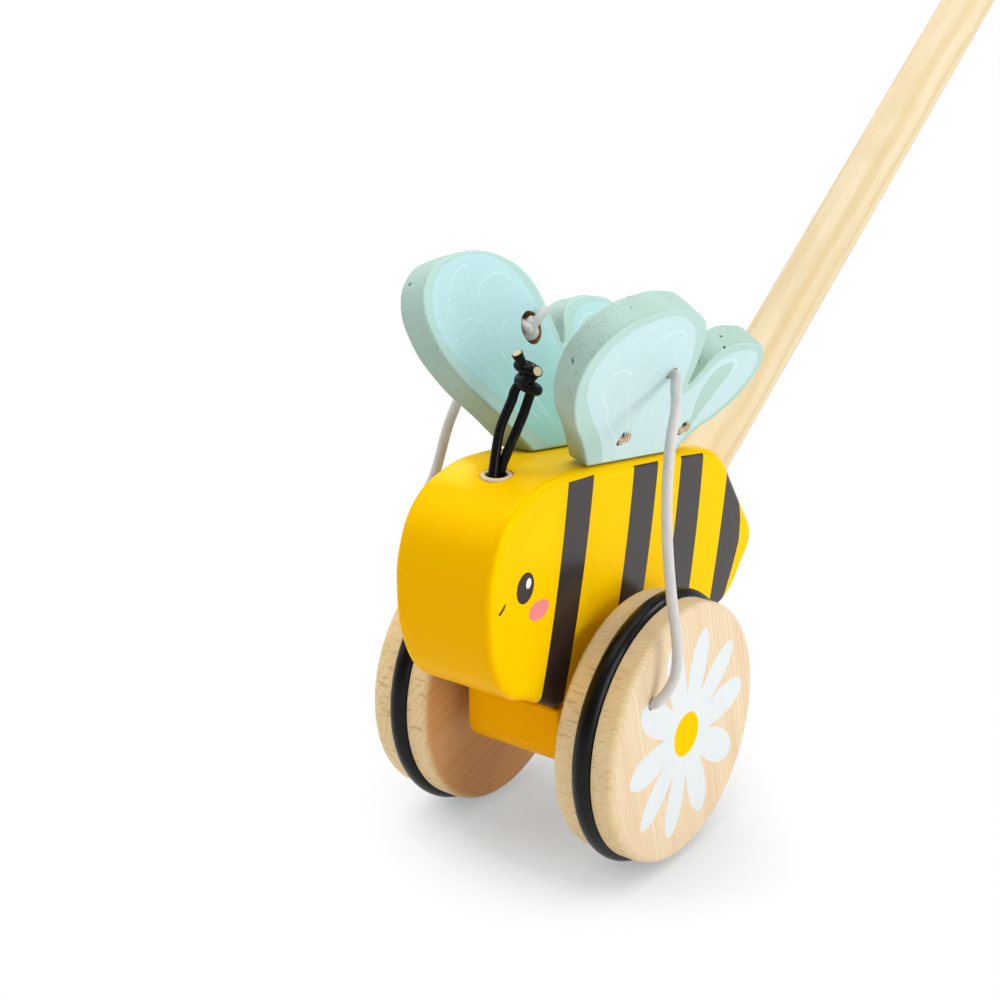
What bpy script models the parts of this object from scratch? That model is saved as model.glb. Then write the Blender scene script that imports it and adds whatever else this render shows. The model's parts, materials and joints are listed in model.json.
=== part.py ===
"""Wooden push-along bee with flapping wings on a two-wheeled axle and a long push handle.

Metres, +Z up. The bee looks along -Y, +X is its left side, and the tyres stand on z = 0.
Everything is placed from the axle's midpoint: Y runs to the tail and Z runs up from there.
The empty called toy then moves the whole model so that its box stands centred on the origin.
"""
from math import atan2, cos, hypot, pi, radians, sin

import bmesh
import bpy
from mathutils import Matrix, Vector

# Clearances and cutters
SEAT_GAP = 0.0003          # glued or seated faces
RUN_GAP = 0.0003           # between turning faces and round running fits
CORD_GAP = 0.0004          # cord in its hole, on the radius
OVERRUN = 0.004            # how far a cutter runs past the face it opens

# Body: a thick plank with its outline cut in profile
BODY_LENGTH = 0.1636
BODY_HEIGHT = 0.0807
BODY_WIDTH = 0.038
BODY_EDGE_RADIUS = 0.003
NOSE_AHEAD_OF_AXLE = 0.069
BELLY_ABOVE_AXLE = 0.0122
TOP_FALL = radians(9.93)   # the flat back falls towards the tail

# Handle: a dowel square to the flat cut across the tail
HANDLE_RADIUS = 0.0099
HANDLE_LENGTH = 0.500
HANDLE_RISE = radians(34.85)
SOCKET_DEPTH = 0.0458
TAIL_FLAT_LENGTH = 0.026

# Outline shares: along the body from the nose, and up from the belly
TAIL_FLAT_SHARES = (0.925, 0.555)
BACK_START_SHARES = (0.275, 1.000)
BACK_RUN_SHARES = (0.000, 0.062, 0.417, 0.479)
BELLY_FRONT_SHARES = (0.232, 0.000)
HEAD_SHARES = (
    (0.141, 0.109),
    (0.070, 0.181),
    (0.0236, 0.326),
    (0.0025, 0.549),
    (0.0150, 0.765),
    (0.0680, 0.928),
    (0.162, 1.001),
)
RUMP_SHARES = ((0.839, 0.765),)
TAIL_SHARES = (
    (1.006, 0.277),
    (0.967, 0.152),
    (0.907, 0.036),
)
BELLY_REAR_SHARES = (0.850, 0.000)

# Axle block under the belly
BLOCK_LENGTH = 0.0616
BLOCK_WIDTH = 0.0374
BLOCK_BELOW_AXLE = 0.0101
BLOCK_EDGE_RADIUS = 0.0085
BLOCK_SIDE_RADIUS = 0.0012
DOWEL_RADIUS = 0.004
DOWEL_LENGTH = 0.024
DOWEL_SPACING = 0.036
DOWEL_IN_BODY_SHARE = 0.5

# Screw that locks the handle from the belly
SCREW_RADIUS = 0.002
SCREW_HEAD_RADIUS = 0.004
SCREW_HEAD_HEIGHT = 0.0026
SCREW_LENGTH = 0.028
SCREW_BEHIND_SOCKET_END = 0.014
SCREW_SLOT_WIDTH = 0.001
SCREW_SLOT_DEPTH = 0.001
SCREW_RECESS_DEPTH = 0.002

# Axle, wheels and tyres
AXLE_RADIUS = 0.005
AXLE_IN_WHEEL = 0.014
WHEEL_RADIUS = 0.045
WHEEL_THICKNESS = 0.0234
WHEEL_EDGE_RADIUS = 0.0026
WHEEL_OUTER_FACE = 0.0493
TYRE_SECTION_RADIUS = 0.00345
TYRE_CENTRE_BELOW_RIM = 0.0011
GROOVE_BEHIND_FACE = 0.0119
SPACER_RADIUS = 0.008

# Cord holes and knots of the wheels
PULL_CORD_RADIUS = 0.00175
WHEEL_HOLE_AHEAD = 0.0223
WHEEL_HOLE_UP = 0.0200
KNOT_RADIUS = 0.0046
KNOT_RECESS_RADIUS = 0.0057
WHEEL_RECESS_DEPTH = 0.010
WHEEL_KNOT_LENGTH = 0.0080

# Wings: boards that stand on the back, tied down through their feet
WING_LENGTH = 0.118
WING_HEIGHT = 0.066
WING_THICKNESS = 0.010
WING_EDGE_RADIUS = 0.0010
WING_FOOT_GAP = 0.0005
WING_FOOT_TILT = radians(19.5)
LEFT_WING_TILT = radians(29.1)
RIGHT_WING_TILT = radians(19.5)
LEFT_HINGE_FROM_MIDDLE = 0.0168
RIGHT_HINGE_FROM_MIDDLE = 0.0163
HINGE_START_FROM_NOSE = 0.0485

# Wing shares: along the wing from the hinge's start, and up from the hinge
WING_FOOT_FRONT_SHARES = (0.119, -0.103)
WING_FOOT_REAR_SHARES = (0.521, -0.103)
WING_SHARES = (
    (-0.033, 0.130),
    (-0.183, 0.346),
    (-0.266, 0.550),
    (-0.281, 0.720),
    (-0.229, 0.862),
    (-0.119, 0.938),
    (0.013, 0.956),
    (0.131, 0.914),
    (0.223, 0.822),
    (0.288, 0.650),
    (0.322, 0.508),
    (0.334, 0.462),
    (0.348, 0.505),
    (0.370, 0.632),
    (0.428, 0.692),
    (0.534, 0.703),
    (0.643, 0.659),
    (0.705, 0.541),
    (0.704, 0.364),
    (0.648, 0.209),
    (0.566, 0.110),
    (0.538, 0.018),
)
PULL_HOLE_SHARES = (0.186, 0.556)
WING_RECESS_DEPTH = 0.0055
WING_KNOT_LENGTH = 0.0085

# Ties: short cords through the wings' feet into the back
TIE_RADIUS = 0.0010
TIE_SHARES = (0.150, 0.472)
TIE_MOUTH_UP_SHARE = 0.158
TIE_EXIT_BEHIND_FACE = 0.007
TIE_DEPTH_IN_BODY = 0.008
TIE_KNOT_RADIUS = 0.0016
TIE_POCKET_RADIUS = 0.0020
TIE_POCKET_DEPTH = 0.0065

# Antenna cord and the bush it comes out of
BUSH_RADIUS = 0.0052
BUSH_BORE_RADIUS = 0.0038
BUSH_LENGTH = 0.012
BUSH_CHAMFER = 0.0003
BUSH_SUNK = 0.0003
BUSH_BEHIND_NOSE = 0.0297
ANTENNA_CORD_RADIUS = 0.0016
ANTENNA_KNOT_RADIUS = 0.0048
ANTENNA_KNOT_LENGTH = 0.0116
ANTENNA_END_RADIUS = 0.0018
STRAND_SPREAD = 0.0018

# Points of one mesh that are closer than this are one point
WELD_DISTANCE = 0.00001

# Counts
OUTLINE_RESOLUTION = 4
WHEEL_STEPS = 48
RING_STEPS = 10
ROD_SIDES = 32
SMALL_SIDES = 12
KNOT_SEGMENTS = 12

# Routes of the cords, chosen by hand, from the axle's midpoint
LEFT_PULL_ROUTE = (
    (0.0519, -0.0228, 0.0219),
    (0.0546, -0.0212, 0.0262),
    (0.0558, -0.0190, 0.0320),
    (0.0559, -0.0191, 0.0420),
    (0.0549, -0.0214, 0.0574),
    (0.0535, -0.0219, 0.0707),
    (0.0520, -0.0212, 0.0838),
    (0.0503, -0.0185, 0.0957),
    (0.0478, -0.0130, 0.1065),
    (0.0441, -0.0044, 0.1134),
    (0.0405, 0.0012, 0.1176),
)
RIGHT_PULL_ROUTE = (
    (-0.0517, -0.0226, 0.0217),
    (-0.0537, -0.0212, 0.0260),
    (-0.0545, -0.0200, 0.0320),
    (-0.0545, -0.0185, 0.0420),
    (-0.0525, -0.0160, 0.0560),
    (-0.0488, -0.0138, 0.0680),
    (-0.0452, -0.0127, 0.0772),
    (-0.0407, -0.0122, 0.0923),
    (-0.0382, -0.0110, 0.1000),
    (-0.0355, -0.0060, 0.1110),
    (-0.0335, 0.0020, 0.1195),
)
FRONT_STRAND_ROUTE = (
    (-0.0003, -0.0389, 0.1007),
    (0.0000, -0.0373, 0.1070),
    (0.0010, -0.0357, 0.1117),
    (0.0021, -0.0338, 0.1163),
    (0.0028, -0.0325, 0.1200),
)
REAR_STRAND_ROUTE = (
    (0.0027, -0.0367, 0.1007),
    (0.0043, -0.0342, 0.1070),
    (0.0054, -0.0324, 0.1117),
    (0.0062, -0.0308, 0.1163),
    (0.0067, -0.0298, 0.1200),
)
ANTENNA_KNOT_PLACE = (0.0054, -0.0298, 0.1238)
ANTENNA_ENDS = (
    (0.0038, -0.0334, 0.1316),
    (0.0104, -0.0318, 0.1266),
)

# Colours
YELLOW_PAINT = (0.95, 0.62, 0.01, 1.0)
NATURAL_BEECH = (0.80, 0.62, 0.38, 1.0)
GREEN_PAINT = (0.42, 0.60, 0.55, 1.0)
BLACK_RUBBER = (0.015, 0.015, 0.015, 1.0)
BLACK_CORD = (0.012, 0.011, 0.010, 1.0)
WHITE_CORD = (0.72, 0.70, 0.66, 1.0)
TIE_CORD = (0.62, 0.50, 0.36, 1.0)
STEEL = (0.60, 0.60, 0.60, 1.0)

# Worked out from the sizes above
TYRE_RING_RADIUS = WHEEL_RADIUS - TYRE_CENTRE_BELOW_RIM
AXLE_HEIGHT = TYRE_RING_RADIUS + TYRE_SECTION_RADIUS
WHEEL_INNER_FACE = WHEEL_OUTER_FACE - WHEEL_THICKNESS
HINGE_ABOVE_BACK = WING_EDGE_RADIUS + WING_FOOT_GAP


def clear_scene():
    """Start from nothing."""
    for thing in list(bpy.data.objects):
        bpy.data.objects.remove(thing, do_unlink=True)


def collection(name):
    """A new collection under the scene's own."""
    made = bpy.data.collections.new(name)
    bpy.context.scene.collection.children.link(made)
    return made


def material(name, colour, roughness, metallic=0.0):
    """A plain Principled material."""
    made = bpy.data.materials.new(name)
    made.use_nodes = True
    shader = made.node_tree.nodes["Principled BSDF"]
    shader.inputs["Base Color"].default_value = colour
    shader.inputs["Roughness"].default_value = roughness
    shader.inputs["Metallic"].default_value = metallic
    return made


def add_object(name, data, group, parent=None, finish=None):
    """Put data in the scene as one object."""
    made = bpy.data.objects.new(name, data)
    group.objects.link(made)
    made.parent = parent
    if finish:
        made.data.materials.append(finish)
    return made


def add_empty(name, group, parent, location, rotation=None):
    """An empty that stands on a joint's axis."""
    made = add_object(name, None, group, parent)
    made.location = location
    if rotation:
        made.rotation_euler = rotation.to_euler()
    return made


def cone_mesh(name, low_radius, high_radius, length, sides):
    """A closed cone or cylinder about Z, from z = 0 up to its length."""
    shape = bmesh.new()
    bmesh.ops.create_cone(
        shape, cap_ends=True, segments=sides, radius1=low_radius, radius2=high_radius, depth=length,
        matrix=Matrix.Translation((0, 0, length / 2)))
    mesh = bpy.data.meshes.new(name)
    shape.to_mesh(mesh)
    shape.free()
    smooth(mesh)
    return mesh


def smooth(mesh):
    """Shade smooth but keep the crisp edges."""
    mesh.shade_smooth()
    mesh.set_sharp_from_angle(angle=radians(35))


def aim(thing, start, direction):
    """Stand an object's Z along a direction, with its origin at the start."""
    thing.location = start
    thing.rotation_euler = Vector(direction).to_track_quat("Z", "Y").to_euler()


def rod(name, start, direction, length, radius, group, parent, finish=None, sides=ROD_SIDES):
    """A plain cylinder from a start point along a direction."""
    made = add_object(name, cone_mesh(name, radius, radius, length, sides), group, parent, finish)
    aim(made, start, direction)
    return made


def ball(name, centre, radius, length, direction, group, parent, finish=None):
    """A rounded lump: a sphere stretched to its length along a direction."""
    shape = bmesh.new()
    stretch = Matrix.Diagonal((radius, radius, length / 2, 1))
    bmesh.ops.create_uvsphere(
        shape, u_segments=KNOT_SEGMENTS, v_segments=KNOT_SEGMENTS // 2 + 1, radius=1.0, matrix=stretch)
    mesh = bpy.data.meshes.new(name)
    shape.to_mesh(mesh)
    shape.free()
    smooth(mesh)
    made = add_object(name, mesh, group, parent, finish)
    aim(made, centre, direction)
    return made


def boolean(target, cutter, operation="DIFFERENCE"):
    """Cut or join with another object, which is kept as a hidden guide."""
    step = target.modifiers.new(operation.title() + " " + cutter.name, "BOOLEAN")
    step.operation = operation
    step.solver = "EXACT"
    step.object = cutter
    cutter.hide_render = True
    cutter.display_type = "WIRE"


def rounded(target, radius, segments, angle=radians(35)):
    """Round every edge sharper than the angle."""
    step = target.modifiers.new("Rounded edges", "BEVEL")
    step.width = radius
    step.segments = segments
    step.limit_method = "ANGLE"
    step.angle_limit = angle
    step.use_clamp_overlap = False


def mesh_of(curve_object):
    """The evaluated mesh of a curve, welded at its caps."""
    bpy.context.view_layer.update()
    graph = bpy.context.evaluated_depsgraph_get()
    mesh = bpy.data.meshes.new_from_object(curve_object.evaluated_get(graph))
    shape = bmesh.new()
    shape.from_mesh(mesh)
    bmesh.ops.remove_doubles(shape, verts=shape.verts, dist=WELD_DISTANCE)
    bmesh.ops.recalc_face_normals(shape, faces=shape.faces)
    shape.to_mesh(mesh)
    shape.free()
    return mesh


def board(name, points, corners, thickness, group, parent, finish):
    """A flat board: a smooth closed outline in its own YZ plane, as thick along X."""
    outline = bpy.data.curves.new(name + " outline", "CURVE")
    outline.dimensions = "2D"
    outline.fill_mode = "BOTH"
    outline.resolution_u = OUTLINE_RESOLUTION
    outline.extrude = thickness / 2
    spline = outline.splines.new("BEZIER")
    spline.bezier_points.add(len(points) - 1)
    spline.use_cyclic_u = True
    for knot, (index, place) in zip(spline.bezier_points, enumerate(points)):
        knot.co = (place[0], place[1], 0)
        kind = "VECTOR" if index in corners else "AUTO"
        knot.handle_left_type = kind
        knot.handle_right_type = kind
    guide = add_object(name + " outline", outline, group)
    mesh = mesh_of(guide)
    bpy.data.objects.remove(guide)
    shape = bmesh.new()
    shape.from_mesh(mesh)
    for way in (1, -1):
        bmesh.ops.dissolve_faces(shape, faces=[face for face in shape.faces if face.normal.z * way > 0.99])
    shape.to_mesh(mesh)
    shape.free()
    mesh.transform(Matrix.Rotation(pi / 2, 4, "Z") @ Matrix.Rotation(pi / 2, 4, "X"))
    return add_object(name, mesh, group, parent, finish)


def turned(name, profile, group, parent, finish, steps):
    """A turned solid: the profile's points are (radius, height) down the outer side."""
    mesh = bpy.data.meshes.new(name)
    places = [Vector((radius, 0, height)) for radius, height in profile]
    links = [(index, index + 1) for index in range(len(places) - 1)]
    if (places[0] - places[-1]).length < WELD_DISTANCE:
        # A ring's profile closes on its own first point.
        places.pop()
        links[-1] = (len(places) - 1, 0)
    mesh.from_pydata(places, links, [])
    made = add_object(name, mesh, group, parent, finish)
    spin = made.modifiers.new("Turned", "SCREW")
    spin.axis = "Z"
    spin.steps = steps
    spin.render_steps = steps
    spin.use_merge_vertices = True
    spin.merge_threshold = WELD_DISTANCE
    spin.use_smooth_shade = True
    return made


def arc(centre, radius, start, end, count):
    """Points on an arc, angles from the first axis towards the second."""
    turns = [start + (end - start) * index / count for index in range(count + 1)]
    return [(centre[0] + radius * cos(turn), centre[1] + radius * sin(turn)) for turn in turns]


def smooth_route(points, spacing):
    """Points at an even spacing along a smooth curve through the route's own points."""
    knots = [Vector(point) for point in points]
    knots = [2 * knots[0] - knots[1]] + knots + [2 * knots[-1] - knots[-2]]
    fine = []
    for before, first, second, after in zip(knots, knots[1:], knots[2:], knots[3:]):
        for index in range(16):
            share = index / 16
            bend = 2 * before - 5 * first + 4 * second - after
            twist = 3 * (first - second) + after - before
            fine.append(first + ((second - before) + (bend + twist * share) * share) * share / 2)
    fine.append(knots[-2])
    run = [0.0]
    for one, other in zip(fine, fine[1:]):
        run.append(run[-1] + (other - one).length)
    count = max(2, round(run[-1] / spacing))
    route = []
    for index in range(count + 1):
        wanted = run[-1] * index / count
        place = next((at for at in range(1, len(run)) if run[at] >= wanted - 1e-9), len(run) - 1)
        share = (wanted - run[place - 1]) / (run[place] - run[place - 1])
        route.append(fine[place - 1].lerp(fine[place], share))
    return route, run[-1]


def tube(name, points, radius, group, parent, finish):
    """A cord: a bevelled poly curve with filled caps."""
    line = bpy.data.curves.new(name, "CURVE")
    line.dimensions = "3D"
    line.bevel_depth = radius
    line.bevel_resolution = 2
    line.use_fill_caps = True
    spline = line.splines.new("POLY")
    spline.points.add(len(points) - 1)
    for knot, place in zip(spline.points, points):
        knot.co = (place[0], place[1], place[2], 1)
    return add_object(name, line, group, parent, finish)


def tube_mesh(name, points, radius, group, parent, finish):
    """The same cord as a welded mesh, for pieces that are joined."""
    curve = tube(name + " line", points, radius, group, None, None)
    mesh = mesh_of(curve)
    bpy.data.objects.remove(curve)
    return add_object(name, mesh, group, parent, finish)


# Places that several pieces share

def body_point(shares):
    """A point of the profile: (along Y, up Z) from the axle's midpoint."""
    along = shares[0] * BODY_LENGTH - NOSE_AHEAD_OF_AXLE
    return along, BELLY_ABOVE_AXLE + shares[1] * BODY_HEIGHT


def back_point(along):
    """The flat back's point at a distance behind its start, measured along it."""
    start = body_point(BACK_START_SHARES)
    return start[0] + along * cos(TOP_FALL), start[1] - along * sin(TOP_FALL)


def handle_direction():
    """The handle's direction, up and backwards."""
    return Vector((0, cos(HANDLE_RISE), sin(HANDLE_RISE)))


def tail_flat_points():
    """Four points in line across the tail, square to the handle, from the top down."""
    centre = body_point(TAIL_FLAT_SHARES)
    shares = (0.5, 0.22, -0.22, -0.5)
    return [(centre[0] - TAIL_FLAT_LENGTH * share * sin(HANDLE_RISE),
             centre[1] + TAIL_FLAT_LENGTH * share * cos(HANDLE_RISE)) for share in shares]


def body_outline():
    """The plank's outline from the belly's front, round the head, back and tail."""
    back = [back_point(share * BODY_LENGTH) for share in BACK_RUN_SHARES]
    points = [body_point(BELLY_FRONT_SHARES)]
    points += [body_point(shares) for shares in HEAD_SHARES]
    points += back
    points += [body_point(shares) for shares in RUMP_SHARES]
    points += tail_flat_points()
    points += [body_point(shares) for shares in TAIL_SHARES]
    points += [body_point(BELLY_REAR_SHARES)]
    return points


def handle_start():
    """The handle's lower end, at the bottom of its socket."""
    mouth = body_point(TAIL_FLAT_SHARES)
    return Vector((0, *mouth)) - handle_direction() * (SOCKET_DEPTH - SEAT_GAP)


def overall_middle():
    """Y of the middle of the whole toy, from the nose to the handle's end."""
    end = handle_start() + handle_direction() * (HANDLE_LENGTH - HANDLE_RADIUS)
    return (end.y + HANDLE_RADIUS - NOSE_AHEAD_OF_AXLE) / 2


def hinge_frame(side, tilt):
    """A wing's frame at its hinge: X outward on the left, Y along the hinge, Z up the wing."""
    start = body_point(BACK_START_SHARES)
    from_start = (HINGE_START_FROM_NOSE - NOSE_AHEAD_OF_AXLE - start[0]) / cos(TOP_FALL)
    foot = back_point(from_start)
    place = Vector((
        LEFT_HINGE_FROM_MIDDLE if side > 0 else -RIGHT_HINGE_FROM_MIDDLE,
        foot[0] + HINGE_ABOVE_BACK * sin(TOP_FALL),
        foot[1] + HINGE_ABOVE_BACK * cos(TOP_FALL)))
    turn = Matrix.Rotation(-TOP_FALL, 4, "X") @ Matrix.Rotation(side * tilt, 4, "Y")
    return Matrix.Translation(place) @ turn


def wing_point(shares, side, outward):
    """A point in the wing's own frame; outward is measured from the outer face."""
    return Vector((side * (WING_EDGE_RADIUS + outward), shares[0] * WING_LENGTH, shares[1] * WING_HEIGHT))


def tie_line(share, side):
    """In the wing's frame: the tie's mouth on the outer face and its way out of the foot."""
    mouth = wing_point((share, TIE_MOUTH_UP_SHARE), side, 0)
    exit_across = WING_EDGE_RADIUS - TIE_EXIT_BEHIND_FACE
    foot = (exit_across * sin(WING_FOOT_TILT) - WING_EDGE_RADIUS) / cos(WING_FOOT_TILT)
    return mouth, Vector((side * exit_across, share * WING_LENGTH, foot))


def make_body(group, guides, parent, paint):
    """The plank, rounded, with its socket, bores and cord holes."""
    points = body_outline()
    corners = (0, len(points) - 1)
    body = board("body", points, corners, BODY_WIDTH, group, parent, paint)
    rounded(body, BODY_EDGE_RADIUS, 3, radians(50))
    smooth(body.data)
    mouth = Vector((0, *body_point(TAIL_FLAT_SHARES)))
    inward = -handle_direction()
    boolean(body, rod("socket cutter", mouth - inward * OVERRUN, inward, SOCKET_DEPTH + OVERRUN,
                      HANDLE_RADIUS + SEAT_GAP, guides, parent))
    for name, place in dowel_places():
        low = Vector((0, place, BELLY_ABOVE_AXLE - OVERRUN))
        depth = DOWEL_LENGTH * DOWEL_IN_BODY_SHARE + SEAT_GAP + OVERRUN
        boolean(body, rod(name + " body cutter", low, (0, 0, 1), depth, DOWEL_RADIUS + SEAT_GAP, guides, parent))
    head_low = Vector((0, screw_place(), BELLY_ABOVE_AXLE - OVERRUN))
    recess = OVERRUN + SCREW_RECESS_DEPTH + SCREW_HEAD_HEIGHT + SEAT_GAP
    boolean(body, rod("screw head cutter", head_low, (0, 0, 1), recess,
                      SCREW_HEAD_RADIUS + SEAT_GAP, guides, parent))
    boolean(body, rod("screw shank cutter", head_low, (0, 0, 1), recess + SCREW_LENGTH + SEAT_GAP,
                      SCREW_RADIUS + SEAT_GAP, guides, parent, sides=SMALL_SIDES))
    top, normal = bush_seat()
    boolean(body, rod("bush cutter", top + normal * OVERRUN, -normal, OVERRUN + BUSH_LENGTH + SEAT_GAP,
                      BUSH_RADIUS + SEAT_GAP, guides, parent))
    for side in (1, -1):
        frame = hinge_frame(side, WING_FOOT_TILT)
        for share in TIE_SHARES:
            mouth, foot = tie_line(share, side)
            start = frame @ foot
            along = (frame @ foot - frame @ mouth).normalized()
            hole = rod(f"tie cutter {side} {share}", start - along * OVERRUN, along,
                       OVERRUN + TIE_DEPTH_IN_BODY + SEAT_GAP, TIE_RADIUS + CORD_GAP, guides, parent,
                       sides=SMALL_SIDES)
            boolean(body, hole)
    return body


def dowel_places():
    """The two dowels' names and their places along Y."""
    return (("dowel_front", -DOWEL_SPACING / 2), ("dowel_rear", DOWEL_SPACING / 2))


def screw_place():
    """Y of the screw that locks the handle."""
    return handle_start().y + SCREW_BEHIND_SOCKET_END


def bush_seat():
    """The bush's place on the head's top and the way it points."""
    along = BUSH_BEHIND_NOSE - NOSE_AHEAD_OF_AXLE
    top = body_point(HEAD_SHARES[-1])
    return Vector((0, along, top[1] - BUSH_SUNK)), Vector((0, 0, 1))


def make_block(group, guides, parent, paint):
    """The axle block: a bar with round lower edges, bored for the axle and the dowels."""
    half = BLOCK_LENGTH / 2
    low = -BLOCK_BELOW_AXLE
    high = BELLY_ABOVE_AXLE - SEAT_GAP
    radius = BLOCK_EDGE_RADIUS
    front = arc((-half + radius, low + radius), radius, pi, 1.5 * pi, 6)
    rear = arc((half - radius, low + radius), radius, 1.5 * pi, 2 * pi, 6)
    outline = [(-half, high)] + front + rear + [(half, high)]
    shape = bmesh.new()
    corners = [shape.verts.new((-BLOCK_WIDTH / 2, along, up)) for along, up in outline]
    face = shape.faces.new(corners)
    moved = bmesh.ops.extrude_face_region(shape, geom=[face])["geom"]
    bmesh.ops.translate(shape, verts=[v for v in moved if isinstance(v, bmesh.types.BMVert)],
                        vec=(BLOCK_WIDTH, 0, 0))
    bmesh.ops.recalc_face_normals(shape, faces=shape.faces)
    mesh = bpy.data.meshes.new("axle_block")
    shape.to_mesh(mesh)
    shape.free()
    smooth(mesh)
    block = add_object("axle_block", mesh, group, parent, paint)
    rounded(block, BLOCK_SIDE_RADIUS, 2, radians(50))
    across = Vector((-BLOCK_WIDTH / 2 - OVERRUN, 0, 0))
    boolean(block, rod("axle bore cutter", across, (1, 0, 0), BLOCK_WIDTH + 2 * OVERRUN,
                       AXLE_RADIUS + RUN_GAP, guides, parent))
    for name, place in dowel_places():
        top = Vector((0, place, high + OVERRUN))
        depth = DOWEL_LENGTH * (1 - DOWEL_IN_BODY_SHARE) + OVERRUN
        boolean(block, rod(name + " block cutter", top, (0, 0, -1), depth, DOWEL_RADIUS + SEAT_GAP, guides, parent))


def make_dowels(group, parent, wood):
    """Two glued dowels between the block and the body."""
    for name, place in dowel_places():
        low = BELLY_ABOVE_AXLE - DOWEL_LENGTH * (1 - DOWEL_IN_BODY_SHARE)
        rod(name, Vector((0, place, low)), (0, 0, 1), DOWEL_LENGTH, DOWEL_RADIUS, group, parent, wood)


def make_handle(group, guides, parent, wood):
    """The dowel with its round upper end and the screw's pilot hole."""
    straight = HANDLE_LENGTH - HANDLE_RADIUS
    end = arc((0, straight), HANDLE_RADIUS, pi / 2, 0, 8)
    profile = end + [(HANDLE_RADIUS, HANDLE_RADIUS / 10), (HANDLE_RADIUS * 0.9, 0), (0, 0)]
    handle = turned("handle", profile, group, parent, wood, ROD_SIDES)
    aim(handle, handle_start(), handle_direction())
    low = Vector((0, screw_place(), BELLY_ABOVE_AXLE))
    reach = SCREW_RECESS_DEPTH + SCREW_HEAD_HEIGHT + SCREW_LENGTH + 2 * SEAT_GAP
    boolean(handle, rod("screw pilot cutter", low, (0, 0, 1), reach, SCREW_RADIUS + SEAT_GAP, guides, parent,
                        sides=SMALL_SIDES))


def make_screw(group, guides, parent, steel):
    """A pan-head screw, sunk in the belly, with a slot across its head."""
    low = Vector((0, screw_place(), BELLY_ABOVE_AXLE + SCREW_RECESS_DEPTH))
    head = (SCREW_HEAD_RADIUS, SCREW_HEAD_RADIUS * 0.9)
    total = SCREW_HEAD_HEIGHT + SCREW_LENGTH
    profile = [(0, total), (SCREW_RADIUS * 0.3, total), (SCREW_RADIUS, total - SCREW_RADIUS * 2)]
    profile += [(SCREW_RADIUS, SCREW_HEAD_HEIGHT), (head[0], SCREW_HEAD_HEIGHT)]
    profile += [(head[0], SCREW_HEAD_HEIGHT / 3), (head[1], 0), (0, 0)]
    screw = turned("handle_screw", profile, group, parent, steel, SMALL_SIDES)
    screw.location = low
    slot = cone_mesh("slot", SCREW_SLOT_WIDTH / 2, SCREW_SLOT_WIDTH / 2, 2 * SCREW_HEAD_RADIUS + 2 * OVERRUN, 4)
    cutter = add_object("screw slot cutter", slot, guides, parent)
    aim(cutter, low + Vector((-SCREW_HEAD_RADIUS - OVERRUN, 0, SCREW_SLOT_DEPTH - SCREW_SLOT_WIDTH / 2)), (1, 0, 0))
    boolean(screw, cutter)


def wheel_profile():
    """Half section of a wheel from its outer face: rim, tyre groove, inner face and axle bore."""
    high = WHEEL_THICKNESS
    edge = WHEEL_EDGE_RADIUS
    groove_radius = TYRE_SECTION_RADIUS + SEAT_GAP
    groove_height = WHEEL_THICKNESS - GROOVE_BEHIND_FACE
    half_mouth = (groove_radius ** 2 - TYRE_CENTRE_BELOW_RIM ** 2) ** 0.5
    lift = atan2(half_mouth, TYRE_CENTRE_BELOW_RIM)
    bore = AXLE_RADIUS + SEAT_GAP
    profile = [(0, high)]
    profile += arc((WHEEL_RADIUS - edge, high - edge), edge, pi / 2, 0, 4)
    profile += arc((TYRE_RING_RADIUS, groove_height), groove_radius, lift, 2 * pi - lift, 8)
    profile += arc((WHEEL_RADIUS - edge, edge), edge, 0, -pi / 2, 4)
    profile += [(bore, 0), (bore, AXLE_IN_WHEEL + SEAT_GAP), (0, AXLE_IN_WHEEL + SEAT_GAP)]
    return profile


def make_wheelset(group, guides, parent, woods, rubber, cord):
    """Axle, spacers, wheels, tyres and the knots that hold the cords in the wheels."""
    half_axle = WHEEL_INNER_FACE + AXLE_IN_WHEEL
    rod("axle", Vector((-half_axle, 0, 0)), (1, 0, 0), 2 * half_axle, AXLE_RADIUS, group, parent, woods)
    for side, word in ((1, "left"), (-1, "right")):
        outward = Vector((side, 0, 0))
        wheel = turned("wheel_" + word, wheel_profile(), group, parent, woods, WHEEL_STEPS)
        aim(wheel, outward * WHEEL_INNER_FACE, outward)
        hole = Vector((side * WHEEL_INNER_FACE, -WHEEL_HOLE_AHEAD, WHEEL_HOLE_UP))
        boolean(wheel, rod("cord cutter " + word, hole - outward * OVERRUN, outward,
                           WHEEL_THICKNESS + 2 * OVERRUN, PULL_CORD_RADIUS + CORD_GAP, guides, parent,
                           sides=SMALL_SIDES))
        boolean(wheel, rod("recess cutter " + word, hole - outward * OVERRUN, outward,
                           WHEEL_RECESS_DEPTH + OVERRUN, KNOT_RECESS_RADIUS, guides, parent))
        centre = hole + outward * (WHEEL_RECESS_DEPTH - SEAT_GAP - WHEEL_KNOT_LENGTH / 2)
        ball("wheel_knot_" + word, centre, KNOT_RADIUS, WHEEL_KNOT_LENGTH, outward, group, parent, cord)
        ring = torus_profile()
        tyre = turned("tyre_" + word, ring, group, parent, rubber, WHEEL_STEPS)
        aim(tyre, outward * (WHEEL_OUTER_FACE - GROOVE_BEHIND_FACE), outward)
        make_spacer(word, side, group, parent, woods)


def torus_profile():
    """The tyre's round section as a closed ring of points."""
    return arc((TYRE_RING_RADIUS, 0), TYRE_SECTION_RADIUS, pi, -pi, RING_STEPS)


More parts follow.
